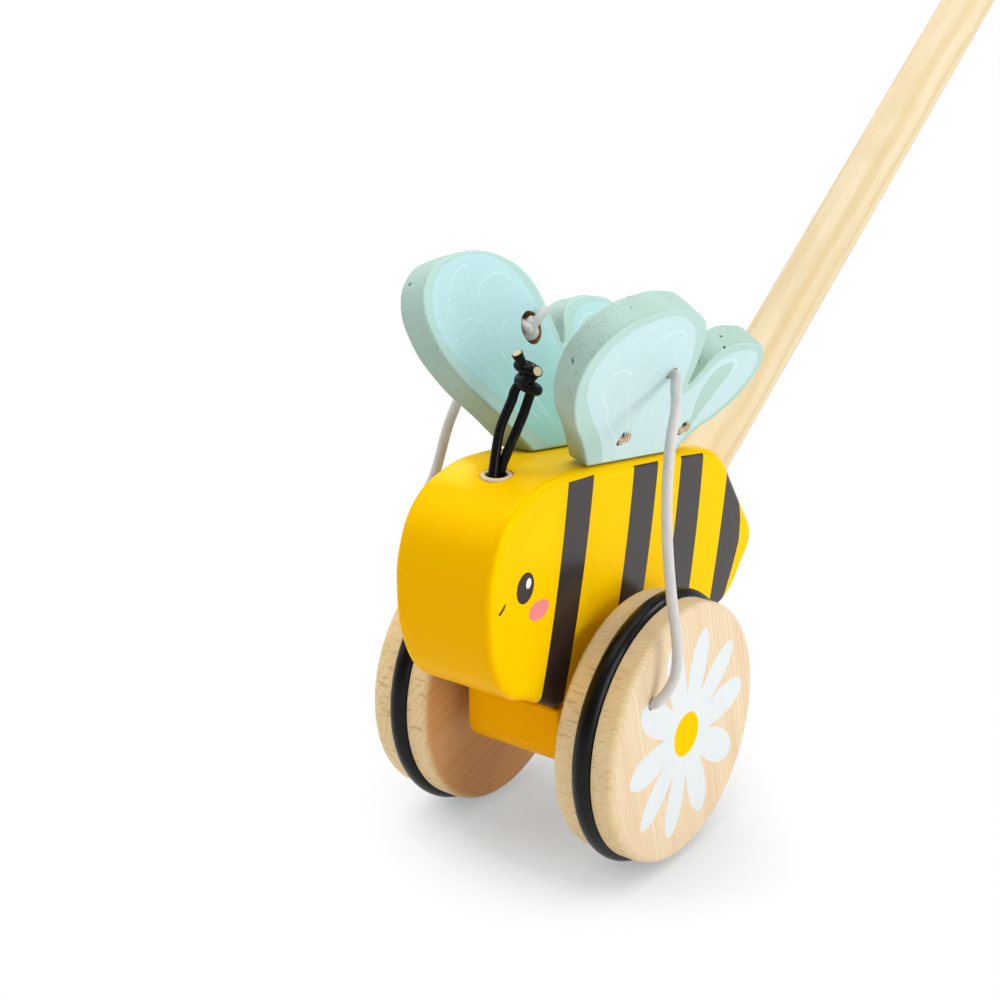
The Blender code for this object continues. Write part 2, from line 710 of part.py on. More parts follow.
def make_spacer(word, side, group, parent, wood):
    """A turned spacer that keeps the wheel off the block."""
    inner = BLOCK_WIDTH / 2 + RUN_GAP
    length = WHEEL_INNER_FACE - SEAT_GAP - inner
    bore = AXLE_RADIUS + SEAT_GAP
    chamfer = SPACER_RADIUS / 16
    profile = [(bore, length), (SPACER_RADIUS - chamfer, length), (SPACER_RADIUS, length - chamfer)]
    profile += [(SPACER_RADIUS, chamfer), (SPACER_RADIUS - chamfer, 0), (bore, 0), (bore, length)]
    spacer = turned("spacer_" + word, profile, group, parent, wood, ROD_SIDES)
    aim(spacer, (side * inner, 0, 0), (side, 0, 0))


def make_wing(side, word, tilt, group, guides, parent, paint, cord):
    """A wing board on its hinge, cut flat at the foot and bored for its ties and pull cord."""
    frame = hinge_frame(side, tilt)
    hinge = add_empty(f"wing_{word}_hinge", group, parent, frame.to_translation(), frame.to_quaternion())
    shares = (WING_FOOT_FRONT_SHARES,) + WING_SHARES + (WING_FOOT_REAR_SHARES,)
    points = [(along * WING_LENGTH, up * WING_HEIGHT) for along, up in shares]
    wing = board("wing_" + word, points, (0, len(points) - 1), WING_THICKNESS, group, hinge, paint)
    wing.data.transform(Matrix.Translation((side * (WING_EDGE_RADIUS - WING_THICKNESS / 2), 0, 0)))
    reach = 2 * WING_THICKNESS
    box = bmesh.new()
    bmesh.ops.create_cube(box, size=2.0, matrix=Matrix.Diagonal((reach, WING_LENGTH, reach, 1)))
    mesh = bpy.data.meshes.new("foot cutter")
    box.to_mesh(mesh)
    box.free()
    turn = Matrix.Rotation(-side * WING_FOOT_TILT, 4, "Y")
    mesh.transform(turn @ Matrix.Translation((0, 0, -reach - WING_EDGE_RADIUS)))
    boolean(wing, add_object(f"foot cutter {word}", mesh, guides, hinge))
    rounded(wing, WING_EDGE_RADIUS, 2, radians(50))
    smooth(wing.data)
    hole = wing_point(PULL_HOLE_SHARES, side, OVERRUN)
    boolean(wing, rod(f"pull cutter {word}", hole, (-side, 0, 0), WING_THICKNESS + 2 * OVERRUN,
                      PULL_CORD_RADIUS + CORD_GAP, guides, hinge, sides=SMALL_SIDES))
    inner = wing_point(PULL_HOLE_SHARES, side, -WING_THICKNESS - OVERRUN)
    boolean(wing, rod(f"wing recess cutter {word}", inner, (side, 0, 0), WING_RECESS_DEPTH + OVERRUN,
                      KNOT_RECESS_RADIUS, guides, hinge))
    seat = WING_RECESS_DEPTH - WING_THICKNESS
    knot = wing_point(PULL_HOLE_SHARES, side, seat - SEAT_GAP - WING_KNOT_LENGTH / 2)
    ball("wing_knot_" + word, knot, KNOT_RADIUS, WING_KNOT_LENGTH, (side, 0, 0), group, hinge, cord)
    for share in TIE_SHARES:
        mouth, foot = tie_line(share, side)
        along = (foot - mouth).normalized()
        length = (foot - mouth).length
        boolean(wing, rod(f"tie wing cutter {word} {share}", mouth - along * OVERRUN, along,
                          length + 2 * OVERRUN, TIE_RADIUS + CORD_GAP, guides, hinge, sides=SMALL_SIDES))
        boolean(wing, rod(f"tie pocket cutter {word} {share}", mouth - along * OVERRUN, along,
                          TIE_POCKET_DEPTH + OVERRUN, TIE_POCKET_RADIUS, guides, hinge,
                          sides=SMALL_SIDES))


def make_ties(side, word, tilt, group, guides, parent, cord):
    """The short cords that tie a wing's foot to the back, each with its knot in the wing's pocket."""
    at_rest = hinge_frame(side, tilt)
    seated = hinge_frame(side, WING_FOOT_TILT)
    for share, end in zip(TIE_SHARES, ("front", "rear")):
        mouth, foot = tie_line(share, side)
        along = (foot - mouth).normalized()
        knot = at_rest @ (mouth + along * (TIE_POCKET_DEPTH - SEAT_GAP - TIE_KNOT_RADIUS))
        drilled = (seated @ foot - seated @ mouth).normalized()
        bottom = seated @ foot + drilled * TIE_DEPTH_IN_BODY
        mouth_in_back = seated @ foot + drilled * WING_FOOT_GAP
        name = f"tie_{word}_{end}"
        path = [knot, at_rest @ foot, mouth_in_back, bottom]
        tie = tube_mesh(name, path, TIE_RADIUS, group, parent, cord)
        lump = ball(name + " knot", knot, TIE_KNOT_RADIUS, 2 * TIE_KNOT_RADIUS, at_rest.to_3x3() @ along,
                    guides, parent)
        boolean(tie, lump, "UNION")


def make_pull_cord(side, word, tilt, route, group, parent, cord):
    """The cord from the knot behind the wing to the knot inside the wheel."""
    frame = hinge_frame(side, tilt)
    knot_face = wing_point(PULL_HOLE_SHARES, side, WING_RECESS_DEPTH - WING_THICKNESS)
    wing_face = wing_point(PULL_HOLE_SHARES, side, 0)
    wing_out = wing_point(PULL_HOLE_SHARES, side, PULL_CORD_RADIUS)
    wheel_face = Vector((side * WHEEL_OUTER_FACE, -WHEEL_HOLE_AHEAD, WHEEL_HOLE_UP))
    recess = Vector((side * (WHEEL_INNER_FACE + WHEEL_RECESS_DEPTH), -WHEEL_HOLE_AHEAD, WHEEL_HOLE_UP))
    points = [recess, recess.lerp(wheel_face, 0.5), wheel_face]
    points += [Vector(place) for place in route]
    points += [frame @ wing_out, frame @ wing_face, frame @ knot_face]
    smooth_points, length = smooth_route(points, 2 * 2 * PULL_CORD_RADIUS)
    print(f"pull_cord_{word}: {length * 1000:.0f} mm")
    tube("pull_cord_" + word, smooth_points, PULL_CORD_RADIUS, group, parent, cord)


def make_antenna(group, guides, parent, wood, cord):
    """The bush on the head and the doubled cord that stands out of it, knotted near its ends."""
    top, normal = bush_seat()
    bush_profile = [(BUSH_BORE_RADIUS, 0), (BUSH_RADIUS - BUSH_CHAMFER, 0), (BUSH_RADIUS, -BUSH_CHAMFER)]
    bush_profile += [(BUSH_RADIUS, -BUSH_LENGTH), (BUSH_BORE_RADIUS, -BUSH_LENGTH), (BUSH_BORE_RADIUS, 0)]
    bush = turned("antenna_bush", bush_profile, group, parent, wood, ROD_SIDES)
    aim(bush, top, normal)
    knot = Vector(ANTENNA_KNOT_PLACE)
    routes = (("antenna_cord", -1, FRONT_STRAND_ROUTE, group), ("rear strand", 1, REAR_STRAND_ROUTE, guides))
    strands = []
    for name, side, route, holder in routes:
        spread = Vector((0, side * STRAND_SPREAD, 0))
        low = top - normal * (BUSH_LENGTH - ANTENNA_CORD_RADIUS) + spread
        points = [low, top + spread] + [Vector(place) for place in route] + [knot]
        points, length = smooth_route(points, 2 * 2 * ANTENNA_CORD_RADIUS)
        print(f"{name}: {length * 1000:.0f} mm")
        strands.append(tube_mesh(name, points, ANTENNA_CORD_RADIUS, holder, parent, cord))
    antenna = strands[0]
    boolean(antenna, strands[1], "UNION")
    lump = ball("antenna knot", knot, ANTENNA_KNOT_RADIUS, ANTENNA_KNOT_LENGTH, (0, 0, 1), guides, parent)
    boolean(antenna, lump, "UNION")
    for index, place in enumerate(ANTENNA_ENDS):
        reach = Vector(place) - knot
        stub = rod(f"antenna end {index}", knot, reach, reach.length, ANTENNA_END_RADIUS, guides, parent,
                   sides=SMALL_SIDES)
        boolean(antenna, stub, "UNION")


def main():
    """Build every piece."""
    clear_scene()
    toy = collection("Push-along bee")
    guides = collection("Cutters and guides")
    yellow = material("Yellow paint", YELLOW_PAINT, 0.35)
    green = material("Pale green paint", GREEN_PAINT, 0.55)
    beech = material("Natural beech", NATURAL_BEECH, 0.6)
    rubber = material("Black rubber", BLACK_RUBBER, 0.55)
    black = material("Black cord", BLACK_CORD, 0.5)
    white = material("White elastic cord", WHITE_CORD, 0.8)
    twine = material("Natural tie cord", TIE_CORD, 0.9)
    steel = material("Steel", STEEL, 0.35, 1.0)
    root = add_empty("toy", toy, None, (0, -overall_middle(), AXLE_HEIGHT))
    axle = add_empty("wheel_axis", toy, root, (0, 0, 0))
    make_body(toy, guides, root, yellow)
    make_block(toy, guides, root, yellow)
    make_dowels(toy, root, beech)
    make_handle(toy, guides, root, beech)
    make_screw(toy, guides, root, steel)
    make_wheelset(toy, guides, axle, beech, rubber, white)
    wings = ((1, "left", LEFT_WING_TILT, LEFT_PULL_ROUTE), (-1, "right", RIGHT_WING_TILT, RIGHT_PULL_ROUTE))
    for side, word, tilt, route in wings:
        make_wing(side, word, tilt, toy, guides, root, green, white)
        make_ties(side, word, tilt, toy, guides, root, twine)
        make_pull_cord(side, word, tilt, route, toy, root, white)
    make_antenna(toy, guides, root, beech, black)
    bpy.context.view_layer.update()
    print(f"axle height {AXLE_HEIGHT * 1000:.2f} mm, axle at y = {-overall_middle() * 1000:.2f} mm")
    for side, word, tilt, route in wings:
        place = root.matrix_world @ hinge_frame(side, tilt).to_translation()
        print(f"wing_{word} hinge at", [round(value, 6) for value in place])


main()
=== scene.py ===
# %% [markdown]
# # A push-along bee on rubber-tyred wheels
# This wooden toy is a thick plank sawn to a bee's outline, painted yellow, on two beech wheels. Two
# wing boards lean outwards from its back, and an elastic cord runs from each wing down to its wheel,
# so the wings flap as the toy is pushed. This notebook dresses the plain CAD model in its paint,
# prints, wood and cord. Every place is given in millimetres from the middle of the axle, because the
# wheels are what the photograph's view was worked out from.

# %% Load the frame
import json
from math import cos, pi, radians, sin

import bmesh
import bpy
from mathutils import Matrix, Vector

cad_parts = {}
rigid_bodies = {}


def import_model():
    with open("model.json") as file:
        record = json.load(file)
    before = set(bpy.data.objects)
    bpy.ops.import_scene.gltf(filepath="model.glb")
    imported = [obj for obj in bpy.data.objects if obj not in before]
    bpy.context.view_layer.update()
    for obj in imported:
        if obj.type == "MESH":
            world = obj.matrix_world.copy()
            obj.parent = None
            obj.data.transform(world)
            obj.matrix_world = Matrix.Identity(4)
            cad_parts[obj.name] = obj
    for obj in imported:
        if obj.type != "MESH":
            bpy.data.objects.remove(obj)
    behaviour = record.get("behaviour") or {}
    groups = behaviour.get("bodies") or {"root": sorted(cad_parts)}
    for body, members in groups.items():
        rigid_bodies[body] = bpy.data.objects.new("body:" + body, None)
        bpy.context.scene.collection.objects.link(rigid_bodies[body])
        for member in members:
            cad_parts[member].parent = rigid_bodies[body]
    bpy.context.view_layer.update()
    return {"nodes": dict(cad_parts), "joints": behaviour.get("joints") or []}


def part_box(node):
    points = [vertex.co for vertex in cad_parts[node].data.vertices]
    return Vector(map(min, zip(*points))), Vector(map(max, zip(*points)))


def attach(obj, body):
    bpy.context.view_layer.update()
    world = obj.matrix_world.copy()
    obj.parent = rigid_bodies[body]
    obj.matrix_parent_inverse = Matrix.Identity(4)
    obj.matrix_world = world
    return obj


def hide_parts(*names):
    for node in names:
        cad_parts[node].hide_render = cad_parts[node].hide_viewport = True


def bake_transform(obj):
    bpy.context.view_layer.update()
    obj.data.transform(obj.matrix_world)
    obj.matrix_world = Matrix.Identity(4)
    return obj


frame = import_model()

MM = 0.001
AXLE_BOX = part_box("axle")
AXLE = (AXLE_BOX[0] + AXLE_BOX[1]) / 2
print("axle's middle in mm:", [round(value / MM, 2) for value in AXLE])


def at(across, along, up):
    """A place in metres from millimetres off the axle's middle: bee's left, backwards, up."""
    return AXLE + Vector((across, along, up)) * MM


# %% [markdown]
# ## The camera
# The photograph was taken with a long lens from the bee's left front, a little above it. The two
# wheel faces fix the view: their ellipses give the angle and their sizes the distance.

# %% Camera
bpy.ops.object.camera_add(
    location=at(342.42, -504.27, 297.72), rotation=(radians(69.707), radians(0.128), radians(36.208)))
camera = bpy.context.object
camera.name = "Camera"
camera.data.lens = 69.953
camera.data.sensor_width = 36
camera.data.clip_start = 0.01
camera.data.clip_end = 50
bpy.context.scene.camera = camera
print("camera at", [round(value, 3) for value in camera.location], "m, lens", camera.data.lens, "mm")

# %% [markdown]
# ## Helpers for shaping
# Blender's operators act on what is selected, so each helper first deselects everything. A finished
# piece has its place in its mesh and its object at the origin, so that patterns and joints agree.
# Sharp edges are rounded by a Bevel modifier, because real wood has no knife edge, and a hole is one
# solid taken out of another by a Boolean modifier.


# %% Selection and finishing
def pick(piece):
    """Select one object alone and make it the active one."""
    if bpy.context.object and bpy.context.object.mode != "OBJECT":
        bpy.ops.object.mode_set(mode="OBJECT")
    bpy.ops.object.select_all(action="DESELECT")
    piece.select_set(True)
    bpy.context.view_layer.objects.active = piece


def named(name):
    """The object just added, named along with its mesh."""
    piece = bpy.context.object
    piece.name = name
    piece.data.name = name
    return piece


def settled(piece):
    """Move the object's own place, turn and size into its mesh."""
    pick(piece)
    bpy.ops.object.transform_apply(location=True, rotation=True, scale=True)
    return piece


def outward(piece):
    """Weld doubles and turn every face outwards."""
    pick(piece)
    bpy.ops.object.mode_set(mode="EDIT")
    bpy.ops.mesh.select_all(action="SELECT")
    bpy.ops.mesh.remove_doubles(threshold=0.000002)
    bpy.ops.mesh.normals_make_consistent(inside=False)
    bpy.ops.object.mode_set(mode="OBJECT")
    return piece


def rounded(piece, width, segments, angle=50):
    """Round the edges sharper than an angle."""
    pick(piece)
    step = piece.modifiers.new("Rounded edges", "BEVEL")
    step.width = width * MM
    step.segments = segments
    step.limit_method = "ANGLE"
    step.angle_limit = radians(angle)
    step.use_clamp_overlap = False
    step.harden_normals = False
    bpy.ops.object.modifier_apply(modifier=step.name)
    return piece


def smooth(piece, angle=35):
    """Shade smooth, with the flat faces kept flat beside their rounded edges."""
    pick(piece)
    bpy.ops.object.shade_smooth_by_angle(angle=radians(angle))
    step = piece.modifiers.new("Flat faces stay flat", "WEIGHTED_NORMAL")
    step.keep_sharp = True
    step.weight = 80
    bpy.ops.object.modifier_apply(modifier=step.name)
    return piece


def cut(piece, cutter):
    """Cut one solid out of another. The cut walls keep the cutter's own material."""
    pick(piece)
    step = piece.modifiers.new("Cut", "BOOLEAN")
    step.operation = "DIFFERENCE"
    step.solver = "EXACT"
    step.material_mode = "TRANSFER"
    step.object = cutter
    bpy.ops.object.modifier_apply(modifier=step.name)
    bpy.data.objects.remove(cutter)
    return piece


def joined(pieces, name):
    """Several objects as one."""
    pick(pieces[0])
    for piece in pieces[1:]:
        piece.select_set(True)
    bpy.ops.object.join()
    return named(name)


def placed(piece, matrix):
    """Put a piece made in its own frame into the toy's frame."""
    piece.data.transform(matrix)
    return piece


def copied(piece, name, matrix):
    """A copy with a mesh of its own, moved or mirrored."""
    pick(piece)
    bpy.ops.object.duplicate()
    other = named(name)
    other.data.transform(matrix)
    return outward(other) if matrix.determinant() < 0 else other


def rod(name, start, end, radius, sides=48):
    """A round rod between two places in metres."""
    reach = Vector(end) - Vector(start)
    bpy.ops.mesh.primitive_cylinder_add(
        vertices=sides, radius=radius * MM, depth=reach.length,
        location=(Vector(start) + Vector(end)) / 2, rotation=reach.to_track_quat("Z", "Y").to_euler())
    return settled(named(name))


def bore(piece, name, start, end, radius, sides):
    """Drill a round hole between two places in mm off the axle's middle."""
    return cut(piece, rod(name, at(*start), at(*end), radius, sides))


MIRROR = Matrix.Diagonal((-1, 1, 1, 1))
over_the_middle = Matrix.Translation(AXLE) @ MIRROR @ Matrix.Translation(-AXLE)
print("mirror plane at x =", round(AXLE.x / MM, 2), "mm")


# %% [markdown]
# ## Helpers for boards and prints
# A board is drawn the way it is marked out on wood: a smooth Bezier outline, thickened, and turned to
# stand in the YZ plane. Its two faces are dissolved to one large face each, which bevels cleanly.


# %% Outlines
def drawn(name, points, corners, thickness, steps=12):
    """A flat shape in the YZ plane from its outline in mm; corner points keep a sharp turn."""
    bpy.ops.curve.primitive_bezier_curve_add(location=(0, 0, 0))
    piece = named(name)
    line = piece.data
    line.dimensions = "2D"
    line.fill_mode = "BOTH"
    line.resolution_u = steps
    line.extrude = thickness * MM / 2
    spline = line.splines[0]
    spline.bezier_points.add(len(points) - 2)
    spline.use_cyclic_u = True
    for index, (knot, place) in enumerate(zip(spline.bezier_points, points)):
        knot.co = (place[0] * MM, place[1] * MM, 0)
        kind = "VECTOR" if index in corners else "AUTO"
        knot.handle_left_type = kind
        knot.handle_right_type = kind
    pick(piece)
    bpy.ops.object.convert(target="MESH")
    piece = named(name)
    piece.rotation_euler = (pi / 2, 0, pi / 2)
    settled(piece)
    outward(piece)
    bpy.ops.object.mode_set(mode="EDIT")
    for way in (1, -1):
        bpy.ops.mesh.select_all(action="DESELECT")
        shape = bmesh.from_edit_mesh(piece.data)
        shape.normal_update()
        for face in shape.faces:
            face.select_set(face.normal.x * way > 0.99)
        bmesh.update_edit_mesh(piece.data)
        bpy.ops.mesh.dissolve_faces()
    bpy.ops.object.mode_set(mode="OBJECT")
    return piece


def oval(centre, radii, tilt=0):
    """Eight outline points of an oval, in mm, tilted by degrees."""
    turn = radians(tilt)
    points = []
    for index in range(8):
        across = radii[0] * cos(index * pi / 4)
        up = radii[1] * sin(index * pi / 4)
        points.append((centre[0] + across * cos(turn) - up * sin(turn),
                       centre[1] + across * sin(turn) + up * cos(turn)))
    return points


print("an oval has", len(oval((0, 0), (1, 1))), "outline points")

# %% [markdown]
# A print is drawn the same way, as a film of ink a few hundredths of a millimetre thick, of which a
# little is sunk in the surface, so that it never floats. A thin line of ink is an outline too: points
# at an even spacing along the line are pushed out to both sides.

# %% Ink and lines
INK = 0.06
INK_SUNK = 0.02
INK_LAYER = 0.02
print("ink stands", round(INK - INK_SUNK, 3), "mm proud")


def ink(name, points, corners=(), layer=0):
    """Ink on the outer face of a board that faces +X; each layer stands a little prouder."""
    piece = drawn(name, points, corners, INK, steps=6)
    lift = (INK / 2 - INK_SUNK + layer * INK_LAYER) * MM
    return placed(piece, Matrix.Translation((lift, 0, 0)))


def smooth_line(points, spacing, closed=False):
    """Points at an even spacing along a smooth curve through the given ones, all in metres."""
    knots = [Vector(point) for point in points]
    if closed:
        knots = [knots[-1]] + knots + knots[:2]
    else:
        knots = [2 * knots[0] - knots[1]] + knots + [2 * knots[-1] - knots[-2]]
    fine = []
    for before, first, second, after in zip(knots, knots[1:], knots[2:], knots[3:]):
        for index in range(16):
            share = index / 16
            bend = 2 * before - 5 * first + 4 * second - after
            twist = 3 * (first - second) + after - before
            fine.append(first + ((second - before) + (bend + twist * share) * share) * share / 2)
    fine.append(knots[-2])
    run = [0.0]
    for one, other in zip(fine, fine[1:]):
        run.append(run[-1] + (other - one).length)
    count = max(2, round(run[-1] / spacing))
    line = []
    place = 1
    for index in range(count + 1):
        wanted = run[-1] * index / count
        while place < len(run) - 1 and run[place] < wanted:
            place += 1
        share = (wanted - run[place - 1]) / (run[place] - run[place - 1])
        line.append(fine[place - 1].lerp(fine[place], share))
    return (line[:-1] if closed else line), run[-1]


def stroke(points, width):
    """The outline, in mm, of a line of ink with pointed ends."""
    line, _ = smooth_line([(y, z, 0) for y, z in points], 1.0)
    left, right = [], []
    for index, place in enumerate(line):
        ahead = line[min(index + 1, len(line) - 1)] - line[max(index - 1, 0)]
        side = Vector((-ahead.y, ahead.x, 0)).normalized() * width / 2
        share = index / (len(line) - 1)
        side *= min(1.0, 0.25 + 6 * min(share, 1 - share))
        left.append((place.x + side.x, place.y + side.y))
        right.append((place.x - side.x, place.y - side.y))
    return left + right[::-1]


# %% [markdown]
# ## Helpers for cords and turned pieces
# A cord is a round section swept along its route without twisting. It carries a UV map that goes
# once round it and counts its girth along it, so a braid keeps its scale. A curve object with a bevel
# would give the same tube, but not a UV map in real proportion.


# %% Sweeping
def swept(name, line, radius, sides=24, closed=False):
    """A closed round tube along points in metres; radius in mm, or one radius for each point."""
    radii = radius if isinstance(radius, list) else [radius] * len(line)
    shape = bmesh.new()
    chart = shape.loops.layers.uv.new("UVMap")
    count = len(line)
    ahead = []
    for index in range(count):
        if closed:
            ahead.append((line[(index + 1) % count] - line[index - 1]).normalized())
        else:
            ahead.append((line[min(index + 1, count - 1)] - line[max(index - 1, 0)]).normalized())
    side = ahead[0].orthogonal().normalized()
    frames = []
    for way in ahead:
        side = (side - way * side.dot(way)).normalized()
        frames.append((side.copy(), way.cross(side)))
    twist = 0.0
    if closed:
        first = frames[0][0]
        last = (frames[-1][0] - ahead[0] * frames[-1][0].dot(ahead[0])).normalized()
        backwards = last.cross(first).dot(ahead[0]) < 0
        twist = -last.angle(first) if backwards else last.angle(first)
    rings, run = [], [0.0]
    for index, (place, (one, other)) in enumerate(zip(line, frames)):
        extra = twist * index / count
        ring = []
        for step in range(sides):
            turn = 2 * pi * step / sides + extra
            ring.append(shape.verts.new(place + (one * cos(turn) + other * sin(turn)) * radii[index] * MM))
        rings.append(ring)
        if index:
            run.append(run[-1] + (place - line[index - 1]).length)
    girth = 2 * pi * radii[0] * MM
    pairs = list(zip(range(count - 1), range(1, count))) + ([(count - 1, 0)] if closed else [])
    for low, high in pairs:
        top = run[high] if high else run[-1] + (line[0] - line[-1]).length
        for step in range(sides):
            after = (step + 1) % sides
            corners = (rings[low][step], rings[low][after], rings[high][after], rings[high][step])
            face = shape.faces.new(corners)
            spots = ((step, run[low]), (step + 1, run[low]), (step + 1, top), (step, top))
            for loop, (across, along) in zip(face.loops, spots):
                loop[chart].uv = (across / sides, along / girth)
            face.smooth = True
    if not closed:
        shape.faces.new(rings[0][::-1])
        shape.faces.new(rings[-1])
    mesh = bpy.data.meshes.new(name)
    shape.to_mesh(mesh)
    shape.free()
    piece = bpy.data.objects.new(name, mesh)
    bpy.context.collection.objects.link(piece)
    return piece


# %% [markdown]
# A turned piece is half of its outline, spun round an axis as on a lathe. Rounded rims are arcs in
# that outline, which gives them an even row of faces that a bevel wouldn't.


# %% Turning
def turned(name, profile, start, direction, steps=96):
    """A lathe piece: (radius, height) points in mm, spun round an axis from a start in metres."""
    bpy.ops.mesh.primitive_plane_add(size=1, location=(0, 0, 0))
    piece = named(name)
    piece.data.clear_geometry()
    edges = [(index, index + 1) for index in range(len(profile) - 1)]
    piece.data.from_pydata([(radius * MM, 0, height * MM) for radius, height in profile], edges, [])
    pick(piece)
    bpy.ops.object.mode_set(mode="EDIT")
    bpy.ops.mesh.select_all(action="SELECT")
    bpy.ops.mesh.spin(steps=steps, angle=2 * pi, center=(0, 0, 0), axis=(0, 0, 1))
    bpy.ops.object.mode_set(mode="OBJECT")
    piece.location = start
    piece.rotation_euler = Vector(direction).to_track_quat("Z", "Y").to_euler()
    return outward(settled(piece))


def arc(centre, radius, start, end, count):
    """Points on an arc, in mm and degrees, from the first axis towards the second."""
    turns = [radians(start + (end - start) * index / count) for index in range(count + 1)]
    return [(centre[0] + radius * cos(turn), centre[1] + radius * sin(turn)) for turn in turns]


print("a quarter round in 4 steps:", [(round(x, 2), round(y, 2)) for x, y in arc((0, 0), 1, 0, 90, 4)])

# %% [markdown]
# ## The pull cords
# Each cord is a smooth white elastic, 3.5 mm thick, that comes out of its wheel's face, bows outwards
# and up beside the body, and goes through the wing to a knot. The photograph shows the left one nearly
# from end to end and a stretch of the right one, and the routes repeat the CAD's. SIDES gives the
# sign of a side's place across, as left is towards +X.

# %% Pull cords
WHEEL_FACE = 49.3
CORD_HOLE = (-22.3, 20.0)
CORD_RADIUS = 1.75
CORD_STEP = 1.2
SIDES = {"left": 1, "right": -1}
ROUTES = {
    "left": (
        (35.9, -22.3, 20.0), (42.6, -22.3, 20.0), (49.3, -22.3, 20.0),
        (51.9, -22.8, 21.9), (54.6, -21.2, 26.2), (55.8, -19.0, 32.0), (55.9, -19.1, 42.0),
        (54.9, -21.4, 57.4), (53.5, -21.9, 70.7), (52.0, -21.2, 83.8), (50.3, -18.5, 95.7),
        (47.8, -13.0, 106.5), (44.1, -4.4, 113.4), (40.5, 1.2, 117.6),
        (37.05, 6.67, 120.23), (35.52, 6.82, 121.08), (31.59, 7.20, 123.24)),
    "right": (
        (-35.9, -22.3, 20.0), (-42.6, -22.3, 20.0), (-49.3, -22.3, 20.0),
        (-51.7, -22.6, 21.7), (-53.7, -21.2, 26.0), (-54.5, -20.0, 32.0), (-54.5, -18.5, 42.0),
        (-52.5, -16.0, 56.0), (-48.8, -13.8, 68.0), (-45.2, -12.7, 77.2), (-40.7, -12.2, 92.3),
        (-38.2, -11.0, 100.0), (-35.5, -6.0, 111.0), (-33.5, 2.0, 119.5),
        (-31.14, 7.19, 123.13), (-29.49, 7.29, 123.72), (-25.25, 7.54, 125.20)),
}
pull_cords, pull_lines, pull_lengths = {}, {}, {}
for word, route in ROUTES.items():
    pull_lines[word], pull_lengths[word] = smooth_line([at(*place) for place in route], CORD_STEP * MM)
    pull_cords[word] = swept(f"pull-cord-{word}", pull_lines[word], CORD_RADIUS)
    print(f"pull cord, {word}: {pull_lengths[word] / MM:.0f} mm")

# %% [markdown]
# ## The antenna
# The bee's antenna is one black waxed cord, doubled, that stands out of a small wooden bush on its
# head and is knotted near the ends. The knot is made of turns of the same cord, laid across each
# other, and the two cut ends show the cord's pale core.

# %% Antenna strands
ANTENNA_RADIUS = 1.6
ANTENNA_STEP = 0.8
BUSH_TOP = Vector((1.0, -40.6, 93.45))
KNOT_PLACE = Vector((5.4, -29.8, 123.8))
STRANDS = {
    "front": (
        (1.0, -42.6, 82.28), (1.0, -42.5, 92.68), (-0.1, -39.2, 100.7), (0, -37.3, 107.0),
        (1.0, -35.7, 111.7), (2.1, -33.8, 116.3), (2.8, -32.5, 120.0), tuple(KNOT_PLACE)),
    "rear": (
        (1.0, -39.0, 82.28), (1.1, -38.9, 92.68), (2.9, -37.0, 100.7), (4.3, -34.2, 107.0),
        (5.4, -32.4, 111.7), (6.2, -30.8, 116.3), (6.7, -29.8, 120.0), tuple(KNOT_PLACE)),
}
strands, strand_lines, strand_lengths = {}, {}, {}
for word, route in STRANDS.items():
    places = [at(*place) for place in route]
    strand_lines[word], strand_lengths[word] = smooth_line(places, ANTENNA_STEP * MM)
    strands[word] = swept(f"antenna-strand-{word}", strand_lines[word], ANTENNA_RADIUS)
    print(f"antenna strand, {word}: {strand_lengths[word] / MM:.0f} mm")


# %% [markdown]
# The knot's turns are closed rings of cord, each flattened and tilted its own way, so that they
# cross in front as the turns of a real overhand knot do.

# %% Antenna knot
def cord_turn(name, centre, sizes, tilts, radius=ANTENNA_RADIUS):
    """One turn of a knot: an oval ring of cord at a place in mm off the axle's middle."""
    turn = Matrix.Rotation(radians(tilts[0]), 4, "X") @ Matrix.Rotation(radians(tilts[1]), 4, "Y")
    turn = turn @ Matrix.Rotation(radians(tilts[2]), 4, "Z")
    ring = []
    for index in range(12):
        angle = index * pi / 6
        ring.append(at(*centre) + turn @ Vector((sizes[0] * cos(angle), sizes[1] * sin(angle), 0)) * MM)
    line, _ = smooth_line(ring, ANTENNA_STEP * MM, closed=True)
    return swept(name, line, radius, sides=20, closed=True)


STUB_STEP = 0.5
SWELL = 0.7         # mm that the radius would grow by over a stub's whole length
SWELL_FROM = 0.6    # the share of a stub where the swelling starts


def cut_end(name, start, end, radius):
    """A short stub of cord, slightly swollen at its cut end."""
    middle = [(one + other) / 2 for one, other in zip(start, end)]
    line, _ = smooth_line([at(*start), at(*middle), at(*end)], STUB_STEP * MM)
    shares = [index / (len(line) - 1) for index in range(len(line))]
    return swept(name, line, [radius + SWELL * max(0, share - SWELL_FROM) for share in shares], sides=24)


knot_parts = [
    cord_turn("turn 1", (6.3, -30.4, 120.6), (3.1, 2.6), (-14, 16, 0)),
    cord_turn("turn 2", (5.2, -30.1, 123.6), (3.0, 2.7), (22, -20, 0)),
    cord_turn("turn 3", (4.9, -29.9, 126.4), (2.8, 2.5), (-10, 14, 0)),
]
STUBS = (((5.0, -31.0, 126.4), (3.8, -33.4, 131.6)), ((6.0, -30.2, 124.0), (10.4, -31.8, 126.6)))
for index, (start, end) in enumerate(STUBS):
    knot_parts.append(cut_end(f"stub {index}", start, end, ANTENNA_RADIUS))
antenna_knot = joined(knot_parts, "antenna-knot")
print("antenna knot:", len(antenna_knot.data.polygons), "faces")

